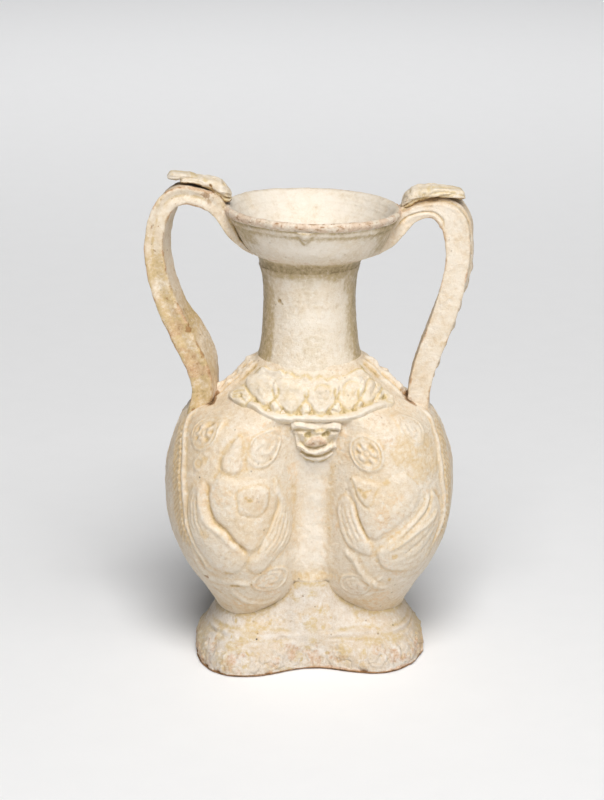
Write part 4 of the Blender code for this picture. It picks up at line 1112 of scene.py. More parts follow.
def dish():
    outer = along(DISH_OUT[:-3], 100)
    lip = along(DISH_OUT[-4:] + [(184.8, 33.9), (184.5, 32.8)], 40)[1:]
    inner = along([(184.5, 32.8)] + DISH_IN[1:-1], 96)[1:]
    bore = along([DISH_IN[-2], DISH_IN[-1]], 10)[1:]
    prof = np.concatenate([outer, lip, inner, bore])
    zone = np.concatenate([np.full(len(outer), 0), np.full(len(lip), 1), np.full(len(inner), 2), np.full(len(bore), 3)])
    Z, R, A = turned(prof, 320)
    K = np.repeat(zone[:, None], A.shape[1], 1)
    x, y = R * np.cos(A), R * np.sin(A)
    lean = smooth((Z - 161.3) / 8.7)
    P = np.stack([x + 1.2 * lean, y, Z - x * 0.028 * lean], -1)
    t = np.gradient(prof, axis=0)
    nz, nr = -t[:, 1], t[:, 0]
    ln = np.hypot(nz, nr)
    nz, nr = (nz / ln)[:, None], (nr / ln)[:, None]
    n = np.stack([nr * np.cos(A), nr * np.sin(A), nz * np.ones_like(A)], -1)
    if (n[40, 0] * np.array([1, 0, 0])).sum() < 0:
        n = -n

    # glaze beads under the lip: one long drop at the front, smaller ones around
    arc = A * 33.0
    front = 1.5 * math.pi * 33.0
    h = np.zeros_like(Z)
    pool = np.zeros_like(Z)
    for dx, zt, w, size in ((-4.6, 175.6, 3.3, 0.95), (25.0, 176.8, 3.2, 0.5), (-38.0, 177.6, 2.6, 0.4),
                            (60.0, 177.0, 2.6, 0.5), (95.0, 177.2, 2.4, 0.5), (-75.0, 177.0, 2.5, 0.5)):
        d = np.abs((arc - front - dx + 33 * math.pi) % (66 * math.pi) - 33 * math.pi)
        tip = np.clip((Z - zt) / (181.0 - zt), 0, 1)
        shape = smooth((w * (0.10 + 1.1 * tip ** 0.8) - d) / 2.4) * smooth((Z - zt) / 2.6) * smooth((182.4 - Z) / 1.0)
        h += np.where(K == 0, size * shape, 0)
        pool += np.where(K == 0, 0.62 * bump(d - w * (0.15 + 1.1 * tip), 0.8) * smooth((Z - zt + 1.2) / 1.5)
                         * smooth((180.5 - Z) / 1.5), 0)
    wave = 0.5 * lumps(np.stack([np.cos(A) * 40, np.sin(A) * 40, 0 * A], -1), 18.0, 2, 41)
    h += np.where(K == 0, 0.40 * bump(Z - 167.2, 0.6) + 0.45 * bump(Z - 179.7 - 0.8 * wave, 0.9) * (0.75 + 0.6 * wave), 0)
    h += np.where(K == 2, 0.06 * np.cos(2 * math.pi * R / 2.0 + 1.6 * wave) + 0.03 * np.cos(2 * math.pi * R / 0.9 + 3 * wave), 0)
    h += 0.18 * lumps(P, 13.0, 2, 43) + 0.07 * lumps(P, 3.0, 2, 45) + 0.03 * noise(P, 1.1, 23)
    h += np.where(K == 1, 0.12 * lumps(P, 2.2, 2, 46), 0)
    h *= smooth((Z - 161.6) / 2.0)
    P = P + n * h[..., None]
    low = smooth((167.0 - Z) / 3.0)
    side = smooth((np.abs(np.cos(A)) - 0.62) / 0.32)
    cloud = lumps(P, (9.0, 9.0, 5.0), 3, 44)
    # painted shade on the left and right sides and in the band under the lip
    pool = np.maximum(pool, np.where(K == 0, 0.80 * low + 0.70 * bump(Z - 181.2, 0.9) * (0.8 + 0.6 * wave) + 0.45 * bump(Z - 178.2 - 0.5 * wave, 1.0)
                                     + 0.46 * side * (0.9 + 0.4 * cloud) + 0.14 * smooth((cloud - 0.1) / 0.5), 0))
    pool = np.maximum(pool, np.where(K == 2, 0.16 * smooth((22 - R) / 6) + 0.10 * smooth((cloud - 0.2) / 0.5), 0))
    lip_edge = np.where(K == 1, smooth((R - 33.2 - 0.4 * wave) / 0.8), 0)
    lip_edge = np.maximum(lip_edge, np.where(K == 0, smooth((Z - 181.2) / 0.9), 0))
    under = np.where(K == 0, bump(Z - 181.9, 0.8), 0)
    fields = {
        "pool": pool,
        "bare": np.maximum(0.86 * lip_edge * (0.66 + 0.40 * lumps(P, 4.0, 3, 47)),
                           np.where(K == 0, 0.62 * bump(Z - 167.2, 0.6) * (0.8 + 0.5 * lumps(P, 5.0, 2, 48)), 0)),
        # painted light inside the dish and on the front and back of its outer wall
        "high": np.where(K == 2, 0.95, np.where(K == 0, 0.75 * bump(Z - 173.0, 4.0) * (1 - side), 0.3)),
        "rust_and_shade": np.maximum(lip_edge * np.clip(0.62 * smooth((lumps(P, 0.9, 2, 49) - 0.16) / 0.5), 0, 0.62),
                           under * 0.40 * smooth((lumps(P, 3.0, 2, 52) + 0.1) / 0.5)),
    }
    piece("mouth_dish", GLAZE_NECK, P.reshape(-1, 3), turned_faces(*Z.shape), fields)


neck()
dish()


# ----------------------------------------------------------- collar and mask
def petal(r, cx, top, tip, half_w, strong=1.0, curl=0):
    """Lotus petal hanging point down: a plump leaf with a dimple or a curl in it."""
    (tx, tz), h = tip, top - tip[1]
    pts = [(tx, tz), (0.5 * (cx + tx) + 0.62 * half_w, tz + 0.24 * h), (cx + half_w, tz + 0.56 * h),
           (cx + 0.86 * half_w, tz + 0.88 * h), (cx + 0.3 * half_w, top), (cx - 0.3 * half_w, top),
           (cx - 0.86 * half_w, tz + 0.88 * h), (cx - half_w, tz + 0.56 * h),
           (0.5 * (cx + tx) - 0.62 * half_w, tz + 0.24 * h)]
    idx, sd = r.plate(pts, 0.70 * strong, 1.1, 0.75 * strong, 0.0, 0.35, reach=3.2)
    b = r.b[idx]
    r.pool[idx] = np.maximum(r.pool[idx], 0.70 * bump(sd + 0.6, 0.6) * smooth((tz + 0.80 * h - b) / (0.3 * h)))
    mz = tz + 0.62 * h
    if curl:
        idx, q, ang = r.disc(cx, mz, 0.62 * half_w)
        r.h[idx] += -0.60 * bump(q - 0.78, 0.2) * (0.6 + 0.4 * np.cos(ang - 1.2 * curl)) + 0.2 * bump(q, 0.4)
        r.pool[idx] = np.maximum(r.pool[idx], 0.46 * bump(q - 0.78, 0.2) * (0.6 + 0.4 * np.cos(ang - 1.2 * curl)))
    else:
        r.spot(cx, mz, 0.6 * half_w, -0.30 * strong, pool=0.12)
    r.groove([(cx - 0.45 * half_w, tz + 0.5 * h), (0.6 * tx + 0.4 * cx, tz + 0.22 * h),
              (cx + 0.45 * half_w, tz + 0.5 * h)], 0.6, 0.14, 0.15)


def stud(r, cx, cz, size, turn):
    idx, q, ang = r.disc(cx, cz, size)
    x, y = q * size * np.cos(ang - turn), q * size * np.sin(ang - turn)
    d = np.maximum(np.abs(x), np.abs(y))
    r.h[idx] += 0.90 * smooth((size * 0.74 - d) / 0.9)
    r.high[idx] = np.maximum(r.high[idx], 0.9 * smooth((size * 0.70 - d) / 0.4))


def pit(r, cx, cz, size, turn=0.0):
    """Small three-cornered hollow, coloured dark olive."""
    a = [turn + math.radians(q) for q in (90, 210, 330)]
    pts = [(cx + 0.9 * size * math.cos(q), cz + 0.78 * size * math.sin(q)) for q in a]
    idx, sd = r.plate(pts, -0.75, 0.7, 0.0, 0.0, 0.0, smooth_line=False)
    r.pool[idx] = np.maximum(r.pool[idx], 1.0 * smooth((sd + 0.35) / 0.6))


def collar(half):
    node = "collar_" + ("front" if half < 0 else "back")
    zs = np.linspace(103.4, 126.0, 175)
    us = np.linspace(-1, 1, 345)
    reach = np.array([(103.4, 38.0), (106.0, 37.2), (108.5, 35.2), (112.0, 31.8), (116.0, 27.0), (120.0, 23.2), (124.4, 19.4),
                      (126.0, 18.4)])
    Z, U = np.meshgrid(zs, us, indexing="ij")
    X = U * np.interp(Z, reach[:, 0], reach[:, 1])
    Y = hull_depth(X, np.minimum(Z, 124.5))
    P = np.stack([X, half * Y, Z], -1)
    N = grid_normals(P, P * np.array([1, 1, 0]) + np.array([0, 0, 1.0]))
    flip = 1.0 if half < 0 else -1.0           # the back is the front turned round
    r = Relief(flip * X + 0.34 * noise(P, 4.5, 191) + 0.12 * noise(P, 1.7, 192),
               Z + 0.34 * noise(P, 4.5, 193) + 0.12 * noise(P, 1.7, 194))
    ruffle = [(-25.0, 117.0), (-21.0, 120.2), (-18.1, 122.4), (-15.6, 121.8), (-12.3, 122.4), (-10.4, 121.2),
              (-8.6, 121.7), (-6.6, 120.2), (-4.5, 119.9), (-2.3, 120.7), (-0.8, 119.4), (0.4, 119.2), (3.6, 120.3),
              (5.2, 119.1), (6.3, 119.2), (9.1, 119.9), (10.4, 119.0), (11.3, 119.5), (14.6, 120.2), (17.4, 121.4),
              (20.0, 120.4), (24.0, 117.0)]
    cord = [(-25.5, 109.6), (-23.8, 109.2), (-19.6, 108.0), (-14.4, 106.3), (-9.0, 105.9), (-4.7, 105.9), (0.7, 105.7),
            (6.0, 105.4), (11.4, 105.7), (16.7, 106.6), (22.4, 107.8), (28.1, 108.5), (33.2, 108.4)]
    outline = ([(x, z - 0.8) for x, z in cord] + [(31.0, 111.2), (27.4, 114.4)] + ruffle[::-1]
               + [(-27.6, 115.2), (-29.8, 113.8), (-33.0, 110.6), (-28.0, 108.7)])
    r.plate(outline, 1.30, 1.1, 0.2, 0.30, 0.25)
    # petals grow out of one band below the ruffle
    r.plate(ruffle + [(24.0, 114.0), (12.0, 114.6), (0.0, 114.8), (-12.0, 115.0), (-24.0, 114.0)], 0.45, 2.2, 0.0, 0.0, 0.0)
    # plump petals in a row, with studs and olive hollows between their tips
    for cx, top, tip, hw, strong, curl in ((-18.9, 119.2, (-18.4, 110.2), 5.8, 0.9, 0), (-8.2, 120.0, (-8.8, 107.6), 6.1, 1.0, 0),
                                           (3.7, 119.6, (3.0, 107.2), 6.0, 1.0, 1), (14.3, 119.2, (13.6, 108.8), 5.4, 0.9, 2),
                                           (22.6, 117.4, (21.8, 109.6), 4.6, 0.8, 1)):
        petal(r, cx, top, tip, hw, strong, curl)
    for cx, cz, size, turn in ((-14.3, 110.4, 2.7, 0.55), (-2.8, 109.2, 2.8, 0.08), (8.9, 109.9, 2.4, -0.25),
                               (17.9, 110.2, 1.9, 0.7), (26.4, 111.0, 1.6, 0.4)):
        stud(r, cx, cz, size, turn)
    for cx, cz, size in ((-17.2, 109.3, 1.7), (-11.6, 108.4, 1.8), (-5.6, 107.7, 1.8), (-0.3, 107.6, 1.8), (6.2, 107.7, 1.7),
                         (11.4, 108.2, 1.6), (16.0, 108.7, 1.4), (20.0, 109.3, 1.3), (-21.8, 111.0, 1.4), (24.6, 110.0, 1.3),
                         (28.6, 110.4, 1.3)):
        pit(r, cx, cz, size)
    r.ridge([(x, z - 0.4) for x, z in ruffle], 0.75, 0.34, 0.0, 0.5, fade=0.03)
    r.groove([(x, z + 0.8) for x, z in ruffle], 0.7, 0.18, 0.55, fade=0.03)
    r.ridge(cord, 1.05, 0.75, 0.40, 0.85, fade=0.03)
    # end leaf with veins
    leaf = [(-33.0, 110.5), (-29.9, 113.4), (-26.0, 114.4), (-23.9, 111.6), (-26.6, 109.2), (-29.8, 109.0)]
    r.plate(leaf, 0.7, 0.9, 0.5, 0.5, 0.4, reach=2.0)
    for a, b in (((-31.0, 110.2), (-25.2, 110.2)), ((-30.6, 110.9), (-24.8, 111.7)), ((-30.0, 111.8), (-25.4, 113.4))):
        r.groove([a, (0.5 * (a[0] + b[0]), 0.5 * (a[1] + b[1]) + 0.3), b], 0.45, 0.45, 0.55)
    pit(r, -27.2, 111.2, 1.1)
    r.ridge([(24.0, 113.8), (28.6, 111.2), (33.2, 109.0)], 0.8, 0.5, 0.4, 0.5)
    worn = 1.0 + 0.20 * lumps(P, 6.0, 2, 195)
    rel = blur(r.grid("h"), 2)
    # above the ruffle the band runs out as a thin slip up to the neck
    rz = np.interp(flip * X, [q[0] for q in ruffle], [q[1] for q in ruffle])
    slip = smooth((Z - rz + 0.6) / 1.2) * smooth((26.0 - np.abs(X)) / 3.0)
    base = -0.85 + slip * (1.0 - 0.34 * smooth((Z - 121.0) / 3.6))
    h = base + rel * worn * 1.15
    on = smooth((rel - 0.5) / 0.5)
    h = h + on * (0.07 * lumps(P, 2.8, 2, 91)) + (0.07 * noise(P, 1.9, 23) + 0.05 * noise(P, 1.0, 24)) * (1 - 0.5 * slip)
    soft = blur(h, 7)
    hollow = np.clip((soft - h) / 0.50, 0, 1) * (1 - 0.6 * slip)
    crest = np.clip((h - soft) / 0.45, 0, 1)
    # the edge of the band tucks into the bodies
    tuck = smooth((np.abs(U) - 0.93) / 0.07) + smooth((Z - 124.6) / 1.2) + smooth((104.2 - Z) / 0.8)
    h = h - 1.0 * np.clip(tuck, 0, 1)
    # below the cord it turns in over the valley
    h = h - 5.5 * smooth((104.9 - Z) / 1.1) * smooth((20.0 - np.abs(X)) / 7.0)
    front = P + N * h[..., None]
    back = P - N * (2.8 + 5.5 * smooth((104.9 - Z) / 1.1) * smooth((20.0 - np.abs(X)) / 7.0))[..., None]
    cloud = smooth((lumps(P, 8.0, 3, 98) - 0.05) / 0.5)
    # on the slip: painted shade towards the sides and painted light in the middle, as on the neck
    fields = {"pool": np.maximum.reduce([r.grid("pool"), 0.60 * hollow, 0.18 * cloud, 0.78 * slip * smooth((np.abs(X) - 12.5) / 7.0)]),
              "high": np.maximum.reduce([r.grid("high"), 0.7 * crest, 0.5 * slip * smooth((15.0 - np.abs(X)) / 6.0)]),
              "bare": 0.40 * crest * smooth((lumps(P, 5.0, 2, 93) - 0.05) / 0.4),
              "rust_and_shade": 0.26 * hollow * smooth((lumps(P, 5.0, 2, 97) - 0.1) / 0.4)}
    slab(node, GLAZE_RELIEF, front, back, fields)


def mask(half):
    node = "mask_" + ("front" if half < 0 else "back")
    zs = np.linspace(84.0, 107.6, 190)
    xs = np.linspace(-11.4, 13.4, 205)
    Z, X0 = np.meshgrid(zs, xs, indexing="ij")
    flip = 1.0 if half < 0 else -1.0
    base = table(FILLET, Z)
    seat = soft_max(lobe_depth(np.maximum(np.abs(X0), 0.3), Z), base, 3.0) - 0.4
    p3 = np.stack([X0, Z, 0 * Z], -1)
    r = Relief(X0 + 0.26 * noise(p3, 3.0, 201) + 0.14 * noise(p3, 1.3, 202),
               96.6 + (Z - 96.6) / 1.15 + 0.22 * noise(p3, 3.0, 203) + 0.12 * noise(p3, 1.3, 204))
    outline = [(-8.8, 104.4), (-3.0, 105.0), (3.4, 104.9), (10.8, 104.2), (11.2, 101.4), (9.9, 97.2), (9.2, 92.6),
               (6.8, 88.4), (2.0, 86.9), (-2.8, 88.1), (-5.6, 91.0), (-6.8, 95.4), (-8.2, 99.8)]
    r.plate(outline, 2.3, 1.3, 2.2, 0.50, 0.2, reach=5.0)
    # brows, eyes, snout
    r.plate([(-9.4, 102.4), (-6.6, 104.0), (-2.6, 103.5), (0.8, 102.2), (2.5, 100.2), (1.4, 99.2), (-0.9, 100.4),
             (-4.0, 101.3), (-7.2, 100.8), (-9.2, 99.8), (-10.2, 100.8)], 1.30, 1.6, 0.8, 0.0, 0.9, reach=1.8)
    r.plate([(11.4, 102.2), (8.8, 103.8), (5.8, 102.9), (4.1, 101.4), (3.4, 100.0), (4.4, 99.3), (6.3, 100.6),
             (8.6, 100.9), (10.8, 99.8), (11.9, 100.7)], 1.30, 1.6, 0.8, 0.0, 0.9, reach=1.8)
    r.groove([(-8.4, 100.5), (-3.0, 100.7), (2.0, 100.7), (6.0, 100.7), (10.4, 100.3)], 0.75, 0.9, 0.50, fade=0.03)
    for ex, s in ((-4.9, -1), (8.0, 1)):
        r.spot(ex, 99.0, 2.7, 1.35, rb=1.7, turn=0.25 * s)
    for ex in (-2.0, 5.1):
        r.spot(ex, 99.1, 2.0, -1.45, pool=1.0, rb=1.5)
    nose = [(-3.2, 95.7), (0.0, 98.7), (2.8, 98.7), (5.9, 95.8), (1.4, 94.7)]
    idx, sd = r.plate(nose, 0.9, 1.0, 1.2, 0.4, 0.0, reach=1.6)
    r.bare[idx] = np.maximum(r.bare[idx], 0.62 * smooth((sd + 0.4) / 0.9))
    r.spot(0.2, 96.2, 0.9, -0.7, pool=0.3, rust_and_shade=0.28)
    r.spot(2.8, 96.2, 0.9, -0.7, pool=0.3, rust_and_shade=0.28)
    # cheeks fold into the lips, with the tongue and chin below
    r.groove([(-5.8, 97.4), (-3.6, 95.2), (1.4, 94.0), (6.2, 95.2), (8.8, 97.4)], 0.65, 0.8, 0.45)
    r.ridge([(-6.2, 95.4), (-3.2, 93.4), (1.6, 92.5), (5.8, 93.3), (9.2, 95.2)], 1.05, 1.55, 0.0, 0.95, fade=0.05)
    r.groove([(-5.9, 93.3), (-2.2, 91.4), (1.8, 90.8), (5.6, 91.4), (8.9, 93.3)], 0.65, 1.25, 0.65, fade=0.05)
    r.ridge([(-5.2, 91.8), (-2.0, 89.9), (1.8, 89.2), (5.4, 89.8), (8.4, 91.8)], 0.95, 1.25, 0.0, 0.85, fade=0.05)
    r.groove([(-4.2, 90.3), (-1.4, 88.9), (1.9, 88.3), (5.0, 88.8), (7.6, 90.2)], 0.5, 0.6, 0.55, fade=0.06)
    r.ridge([(-3.6, 89.0), (-1.0, 87.8), (1.9, 87.3), (4.8, 87.7), (6.8, 88.9)], 0.6, 0.5, 0.0, 0.2, fade=0.06)
    for s, x in ((-1, -7.2), (1, 10.2)):
        r.ridge([(x, 99.6), (x + 0.7 * -s, 96.0), (x + 1.3 * -s, 93.0)], 0.8, 0.6, 0.3, 0.4)
    rel = blur(r.grid("h"), 3)
    h = -1.65 + rel * (1.0 + 0.12 * lumps(p3, 5.0, 2, 205))
    h = h + 0.14 * lumps(p3, 2.2, 2, 95) + 0.06 * noise(p3, 1.0, 23)
    soft = blur(h, 8)
    hollow = np.clip((soft - h) / 0.7, 0, 1)
    crest = np.clip((h - soft) / 0.5, 0, 1)
    rim = smooth((-10.0 - X0) / 1.3) + smooth((X0 - 12.2) / 1.1) + smooth((Z - 106.6) / 0.8) + smooth((84.9 - Z) / 0.7)
    h = h - 1.4 * np.clip(rim, 0, 1)
    front = np.stack([flip * X0, half * (seat + h), Z], -1)
    back = np.stack([flip * X0, half * (seat - 3.4), Z], -1)
    fields = {"pool": np.maximum(r.grid("pool"), 0.55 * hollow), "high": np.maximum(r.grid("high"), 0.7 * crest),
              "bare": np.maximum(r.grid("bare"), 0.34 * crest * smooth((lumps(p3, 4.0, 2, 96) - 0.05) / 0.4)),
              # dark brown in the lower hollows; painted shadow along the lower edge of the mask
              "rust_and_shade": np.maximum(r.grid("rust_and_shade"), 0.40 * hollow * smooth((91.0 - Z) / 3.0) + 0.36 * bump(Z - 86.0 - 0.06 * (X0 - 1.8) ** 2, 0.9))}
    slab(node, GLAZE_RELIEF, front, back, fields)


collar(-1)
collar(1)
mask(-1)
mask(1)

# ------------------------------------------------------------------- handles
# Middle of the strap's front edge: x, z and half thickness, from the dish down
STRAP_LEFT = [(-28.5, 172.0, 1.4), (-31.1, 175.8, 2.0), (-33.4, 180.2, 2.7), (-35.7, 184.2, 3.3), (-38.0, 186.8, 3.6),
              (-40.7, 188.4, 3.7), (-44.6, 189.7, 3.5), (-48.4, 190.4, 3.6), (-51.7, 190.0, 3.8), (-55.1, 188.4, 3.8),
              (-57.9, 184.8, 3.7), (-59.9, 180.1, 3.7), (-61.2, 173.7, 3.7), (-61.5, 166.9, 3.9), (-60.3, 158.8, 4.0),
              (-58.4, 151.5, 4.1), (-55.5, 143.8, 4.2), (-51.8, 135.6, 4.3), (-48.3, 128.2, 4.3), (-45.4, 121.6, 4.3),
              (-43.7, 115.8, 4.2), (-43.2, 110.0, 4.1), (-43.9, 103.6, 4.4)]
STRAP_RIGHT = [(30.8, 171.0, 2.3), (34.0, 175.6, 3.2), (36.7, 179.2, 3.6),
               (39.4, 181.3, 3.2), (43.6, 183.0, 2.9), (47.8, 183.4, 3.1), (51.2, 182.6, 4.0), (54.8, 180.2, 4.9),
               (57.2, 175.4, 5.1), (58.1, 169.7, 4.9), (58.1, 162.9, 4.8), (57.0, 155.8, 4.7), (55.2, 148.0, 4.8),
               (53.0, 140.7, 4.8), (50.4, 133.3, 4.8), (47.8, 125.9, 4.7), (45.4, 118.4, 4.6), (43.8, 110.9, 4.3),
               (43.0, 103.6, 4.2)]
# how far the back edge is turned towards the neck, along the strap
TURN_LEFT = [(0.0, 0.0), (0.24, 0.5), (0.33, 2.9), (0.43, 3.2), (0.545, 2.9), (0.62, 2.9), (0.67, 2.8), (0.70, 3.4),
             (0.74, 4.4), (0.80, 4.9), (0.86, 4.4), (0.91, 3.6), (0.96, 2.8), (1.0, 2.0)]
TURN_RIGHT = [(0.0, 0.0), (0.2, -0.5), (0.3, -2.4), (0.38, -3.1), (0.45, -2.8), (0.547, -3.0), (0.62, -1.9),
              (0.8, -1.5), (1.0, -1.0)]
STRAP_DEPTH = 13.0


# where the strap spreads on the wall of the dish, below the rows above
LEAD_LEFT = [(-22.4, 166.9, 0.4), (-25.4, 169.1, 0.9)]
LEAD_RIGHT = [(22.4, 165.2, 0.4), (26.6, 167.7, 1.3)]


def strap_run(side, count):
    lead = LEAD_LEFT if side < 0 else LEAD_RIGHT
    c = curve(lead + (STRAP_LEFT if side < 0 else STRAP_RIGHT), False, 14)
    acc = np.concatenate([[0.0], np.cumsum(np.hypot(np.diff(c[:, 0]), np.diff(c[:, 1])))])
    start = acc[14 * len(lead)]
    s = np.linspace(0, acc[-1], count)
    x, z, t = (np.interp(s, acc, c[:, k]) for k in range(3))
    first = 0.0 if side < 0 else 0.09
    f = first + (1 - first) * (s - start) / (acc[-1] - start)
    tan = np.stack([np.gradient(x), np.gradient(z)], -1)
    tan /= np.linalg.norm(tan, axis=1, keepdims=True)
    n = np.stack([-tan[:, 1] * side, 0 * f, tan[:, 0] * side], -1)      # away from the neck
    turn = table(TURN_LEFT if side < 0 else TURN_RIGHT, f)
    deep = STRAP_DEPTH * (1.06 - 0.06 * smooth(f / 0.16))
    return f, np.stack([x, 0 * f, z], -1), n, t, turn, deep


def strap_point(c, n, turn, deep, u, w):
    """Point of the strap: u across its thickness, w from front edge to back edge."""
    p = c[:, None] + u[..., None] * n[:, None]
    p = p - (turn[:, None] * w / deep[:, None])[..., None] * n[:, None]
    p[..., 1] += w - 0.5 * deep[:, None]
    return p


def strap_loop(h1, deep, r):
    """Rounded rectangle, once round: front edge, inner face, back edge, outer face."""
    h1, deep, r = h1[:, None], deep[:, None], r[:, None]
    th = np.linspace(0, math.pi / 2, 7)[None, :]
    arcs = [(h1 - r + r * np.cos(th), r - r * np.sin(th)),
            (-h1 + r - r * np.sin(th), r - r * np.cos(th)),
            (-h1 + r - r * np.cos(th), deep - r + r * np.sin(th)),
            (h1 - r + r * np.sin(th), deep - r + r * np.cos(th))]
    us, ws = [], []
    for k, flat in enumerate((22, 16, 10, 16)):
        u, w = arcs[k]
        u2, w2 = arcs[(k + 1) % 4]
        s = np.linspace(0, 1, flat + 2)[1:-1][None, :]
        us += [u, u[:, -1:] + (u2[:, :1] - u[:, -1:]) * s]
        ws += [w, w[:, -1:] + (w2[:, :1] - w[:, -1:]) * s]
    return np.concatenate(us, 1), np.concatenate(ws, 1)


def strap(side):
    name = "left" if side < 0 else "right"
    count = 430
    f, c, n, t, turn, deep = strap_run(side, count)
    u, w = strap_loop(t, deep, np.minimum(0.62, 0.6 * t))
    P = strap_point(c, n, turn, deep, u, w)
    sides = u.shape[1]
    mid = strap_point(c, n, turn, deep, np.zeros((count, 1)), 0.5 * deep[:, None])
    N = grid_normals(P, P - mid, True)
    F = np.repeat(f[:, None], sides, 1)
    q = u / t[:, None]                              # -1 inner face, +1 outer face
    g = w / deep[:, None]                           # 0 front edge, 1 back edge
    front = smooth((0.13 - g) / 0.10)
    inner = smooth((-q - 0.80) / 0.15) * (1 - front)
    outer = smooth((q - 0.80) / 0.15) * (1 - front)
    arch = smooth((F - 0.10) / 0.10) * smooth((1.02 - F) / 0.07)
    h = np.zeros_like(F)
    pool = np.zeros_like(F)
    if side < 0:
        # shallow channel down the front edge between two soft rolls
        h += front * arch * (-0.50 * bump(q - 0.05, 0.30) + 0.26 * bump(q - 0.66, 0.2) + 0.24 * bump(q + 0.66, 0.2))
        pool = np.maximum(pool, 0.60 * front * arch * bump(q - 0.05, 0.24) * smooth((0.78 - F) / 0.2)
                          * (0.75 + 0.5 * lumps(P, (4.0, 4.0, 9.0), 2, 118)))
    else:
        # flat front edge; a thin line follows the outer side
        h += front * arch * (-0.18 * bump(q, 0.6) + 0.12 * bump(q - 0.75, 0.12))
        h += outer * arch * (0.60 * bump(g - 0.36, 0.05) - 0.45 * bump(g - 0.24, 0.05)) * smooth((0.62 - F) / 0.1)
        pool = np.maximum(pool, 0.6 * outer * arch * bump(g - 0.24, 0.05) * smooth((0.62 - F) / 0.1))
        # fold where the roll from the dish tucks under the arch
        fold = np.interp(F, (0.12, 0.20, 0.27, 0.33, 0.38), (0.35, 0.15, -0.15, -0.55, -1.1))
        on = front * smooth((F - 0.11) / 0.05) * smooth((0.385 - F) / 0.05)
        h += on * (0.34 * bump(q - fold + 0.34, 0.24) - 0.55 * bump(q - fold, 0.12) + 0.16 * bump(q - fold - 0.28, 0.2))
        pool = np.maximum(pool, 0.48 * on * bump(q - fold, 0.13))
    # the roll on the wall of the dish: a crease along its rim side
    tail = smooth((0.17 - F) / 0.10)
    h += 0.24 * lumps(P, 9.0, 2, 111 + side) + 0.10 * lumps(P, 3.0, 2, 113)
    h += 0.075 * noise(P, 1.9, 23) + 0.045 * noise(P, 1.0, 24)
    root = smooth((F - 0.945) / 0.05)
    h += 0.9 * root * (0.45 + 0.6 * lumps(P, 5.0, 2, 115)) * (1 - 0.8 * inner)
    P = P + N * h[..., None]
    tip = (c[-1] - c[-2]) / np.linalg.norm(c[-1] - c[-2])
    P = P + (3.4 * smooth((F - 0.955) / 0.045))[..., None] * tip
    # worn, stained edges
    corner = np.minimum(np.hypot((1 - np.abs(q)) * t[:, None], w), np.hypot((1 - np.abs(q)) * t[:, None], deep[:, None] - w))
    edge = bump(corner, 0.95)
    wear = smooth((lumps(P, 6.0, 3, 117) - 0.0) / 0.5)
    tan_ = smooth((F - 0.46) / 0.28) if side < 0 else 0.16 * smooth((F - 0.75) / 0.2)
    bare = (0.95 if side < 0 else 0.62) * edge * (0.38 + 0.72 * wear) * arch
    bare = np.maximum(bare, 0.58 * front * (0.30 + 0.70 * wear) * arch * (0.22 + 0.78 * tan_))
    pool = np.maximum(pool, (0.36 if side < 0 else 0.16) * front * arch * smooth((lumps(P, (6.0, 6.0, 12.0), 2, 119) - 0.05) / 0.5))
    pool = np.maximum(pool, front * arch * tan_ * (0.54 + 0.30 * lumps(P, 7.0, 2, 120)))
    # painted shade on the inner face of the strap, over pooled glaze
    pool = np.maximum(pool, inner * arch * ((0.16 if side < 0 else 0.30) + 0.24 * lumps(P, 8.0, 2, 124)))
    # pooled glaze and painted shade in the crease along the roll's rim side
    pool = np.maximum(pool, tail * np.maximum(0.62 * smooth((q - 0.30) / 0.4), 0.30 * bump(q + 0.9, 0.3))
                      * (0.8 + 0.4 * lumps(P, 5.0, 2, 126)))
    rust_and_shade = (0.66 if side < 0 else 0.36) * edge * smooth((lumps(P, 5.0, 2, 121) + 0.05) / 0.4) * arch
    # painted shade of the dark gap under the inner face at the root, coloured as rust
    stain_and_gap_shade = smooth((F - 0.935) / 0.055) * smooth((-q - 0.55) / 0.4)
    rust_and_shade = np.maximum(rust_and_shade, (0.80 if side > 0 else 0.95) * stain_and_gap_shade)
    bare = np.maximum(bare, 0.6 * smooth((F - 0.92) / 0.06) * smooth((-q - 0.2) / 0.6))
    if side < 0:
        # pooled glaze down the front, and more painted shade on the inner face of the left strap
        pool = np.maximum(pool, front * arch * (0.08 + 0.36 * smooth((F - 0.30) / 0.25)) * (1 + 0.9 * lumps(P, 5.0, 3, 131))
                          + inner * arch * (0.14 + 0.56 * bump(F - 0.72, 0.05) + 0.2 * lumps(P, 7.0, 2, 132)))
        pool = np.maximum(pool, 0.8 * smooth((F - 0.955) / 0.03) * smooth((q - 0.1) / 0.5))
    spots = (((0.735, -0.7, 0.9), (0.70, 0.85, 0.55), (0.17, 0.6, 0.75), (0.155, 0.0, 0.6), (0.19, -0.3, 0.45)) if side < 0
             else ((0.76, 0.0, 0.30), (0.17, 0.4, 0.25)))
    for sf, sq, s in spots:
        blot = bump((F - sf) * 120, 2.2) * bump(q - sq, 0.50) * smooth((0.3 - g) / 0.2)
        rust_and_shade = np.maximum(rust_and_shade, 0.85 * s * smooth((blot - 0.30 + 0.7 * lumps(P, 1.8, 3, 125)) / 0.55))
    fields = {"pool": pool, "bare": bare, "rust_and_shade": rust_and_shade,
              "high": np.maximum((0.55 if side < 0 else 0.8) * front * arch * (1 - edge) * (1 - 0.6 * tan_), 0.2 * inner * arch)}
    caps = [tuple(range(sides)), tuple((count - 1) * sides + k for k in range(sides))]
    piece("handle_" + name, GLAZE_HANDLE, P.reshape(-1, 3),
          [grid_quads(count, sides, 0, True), caps], fields)


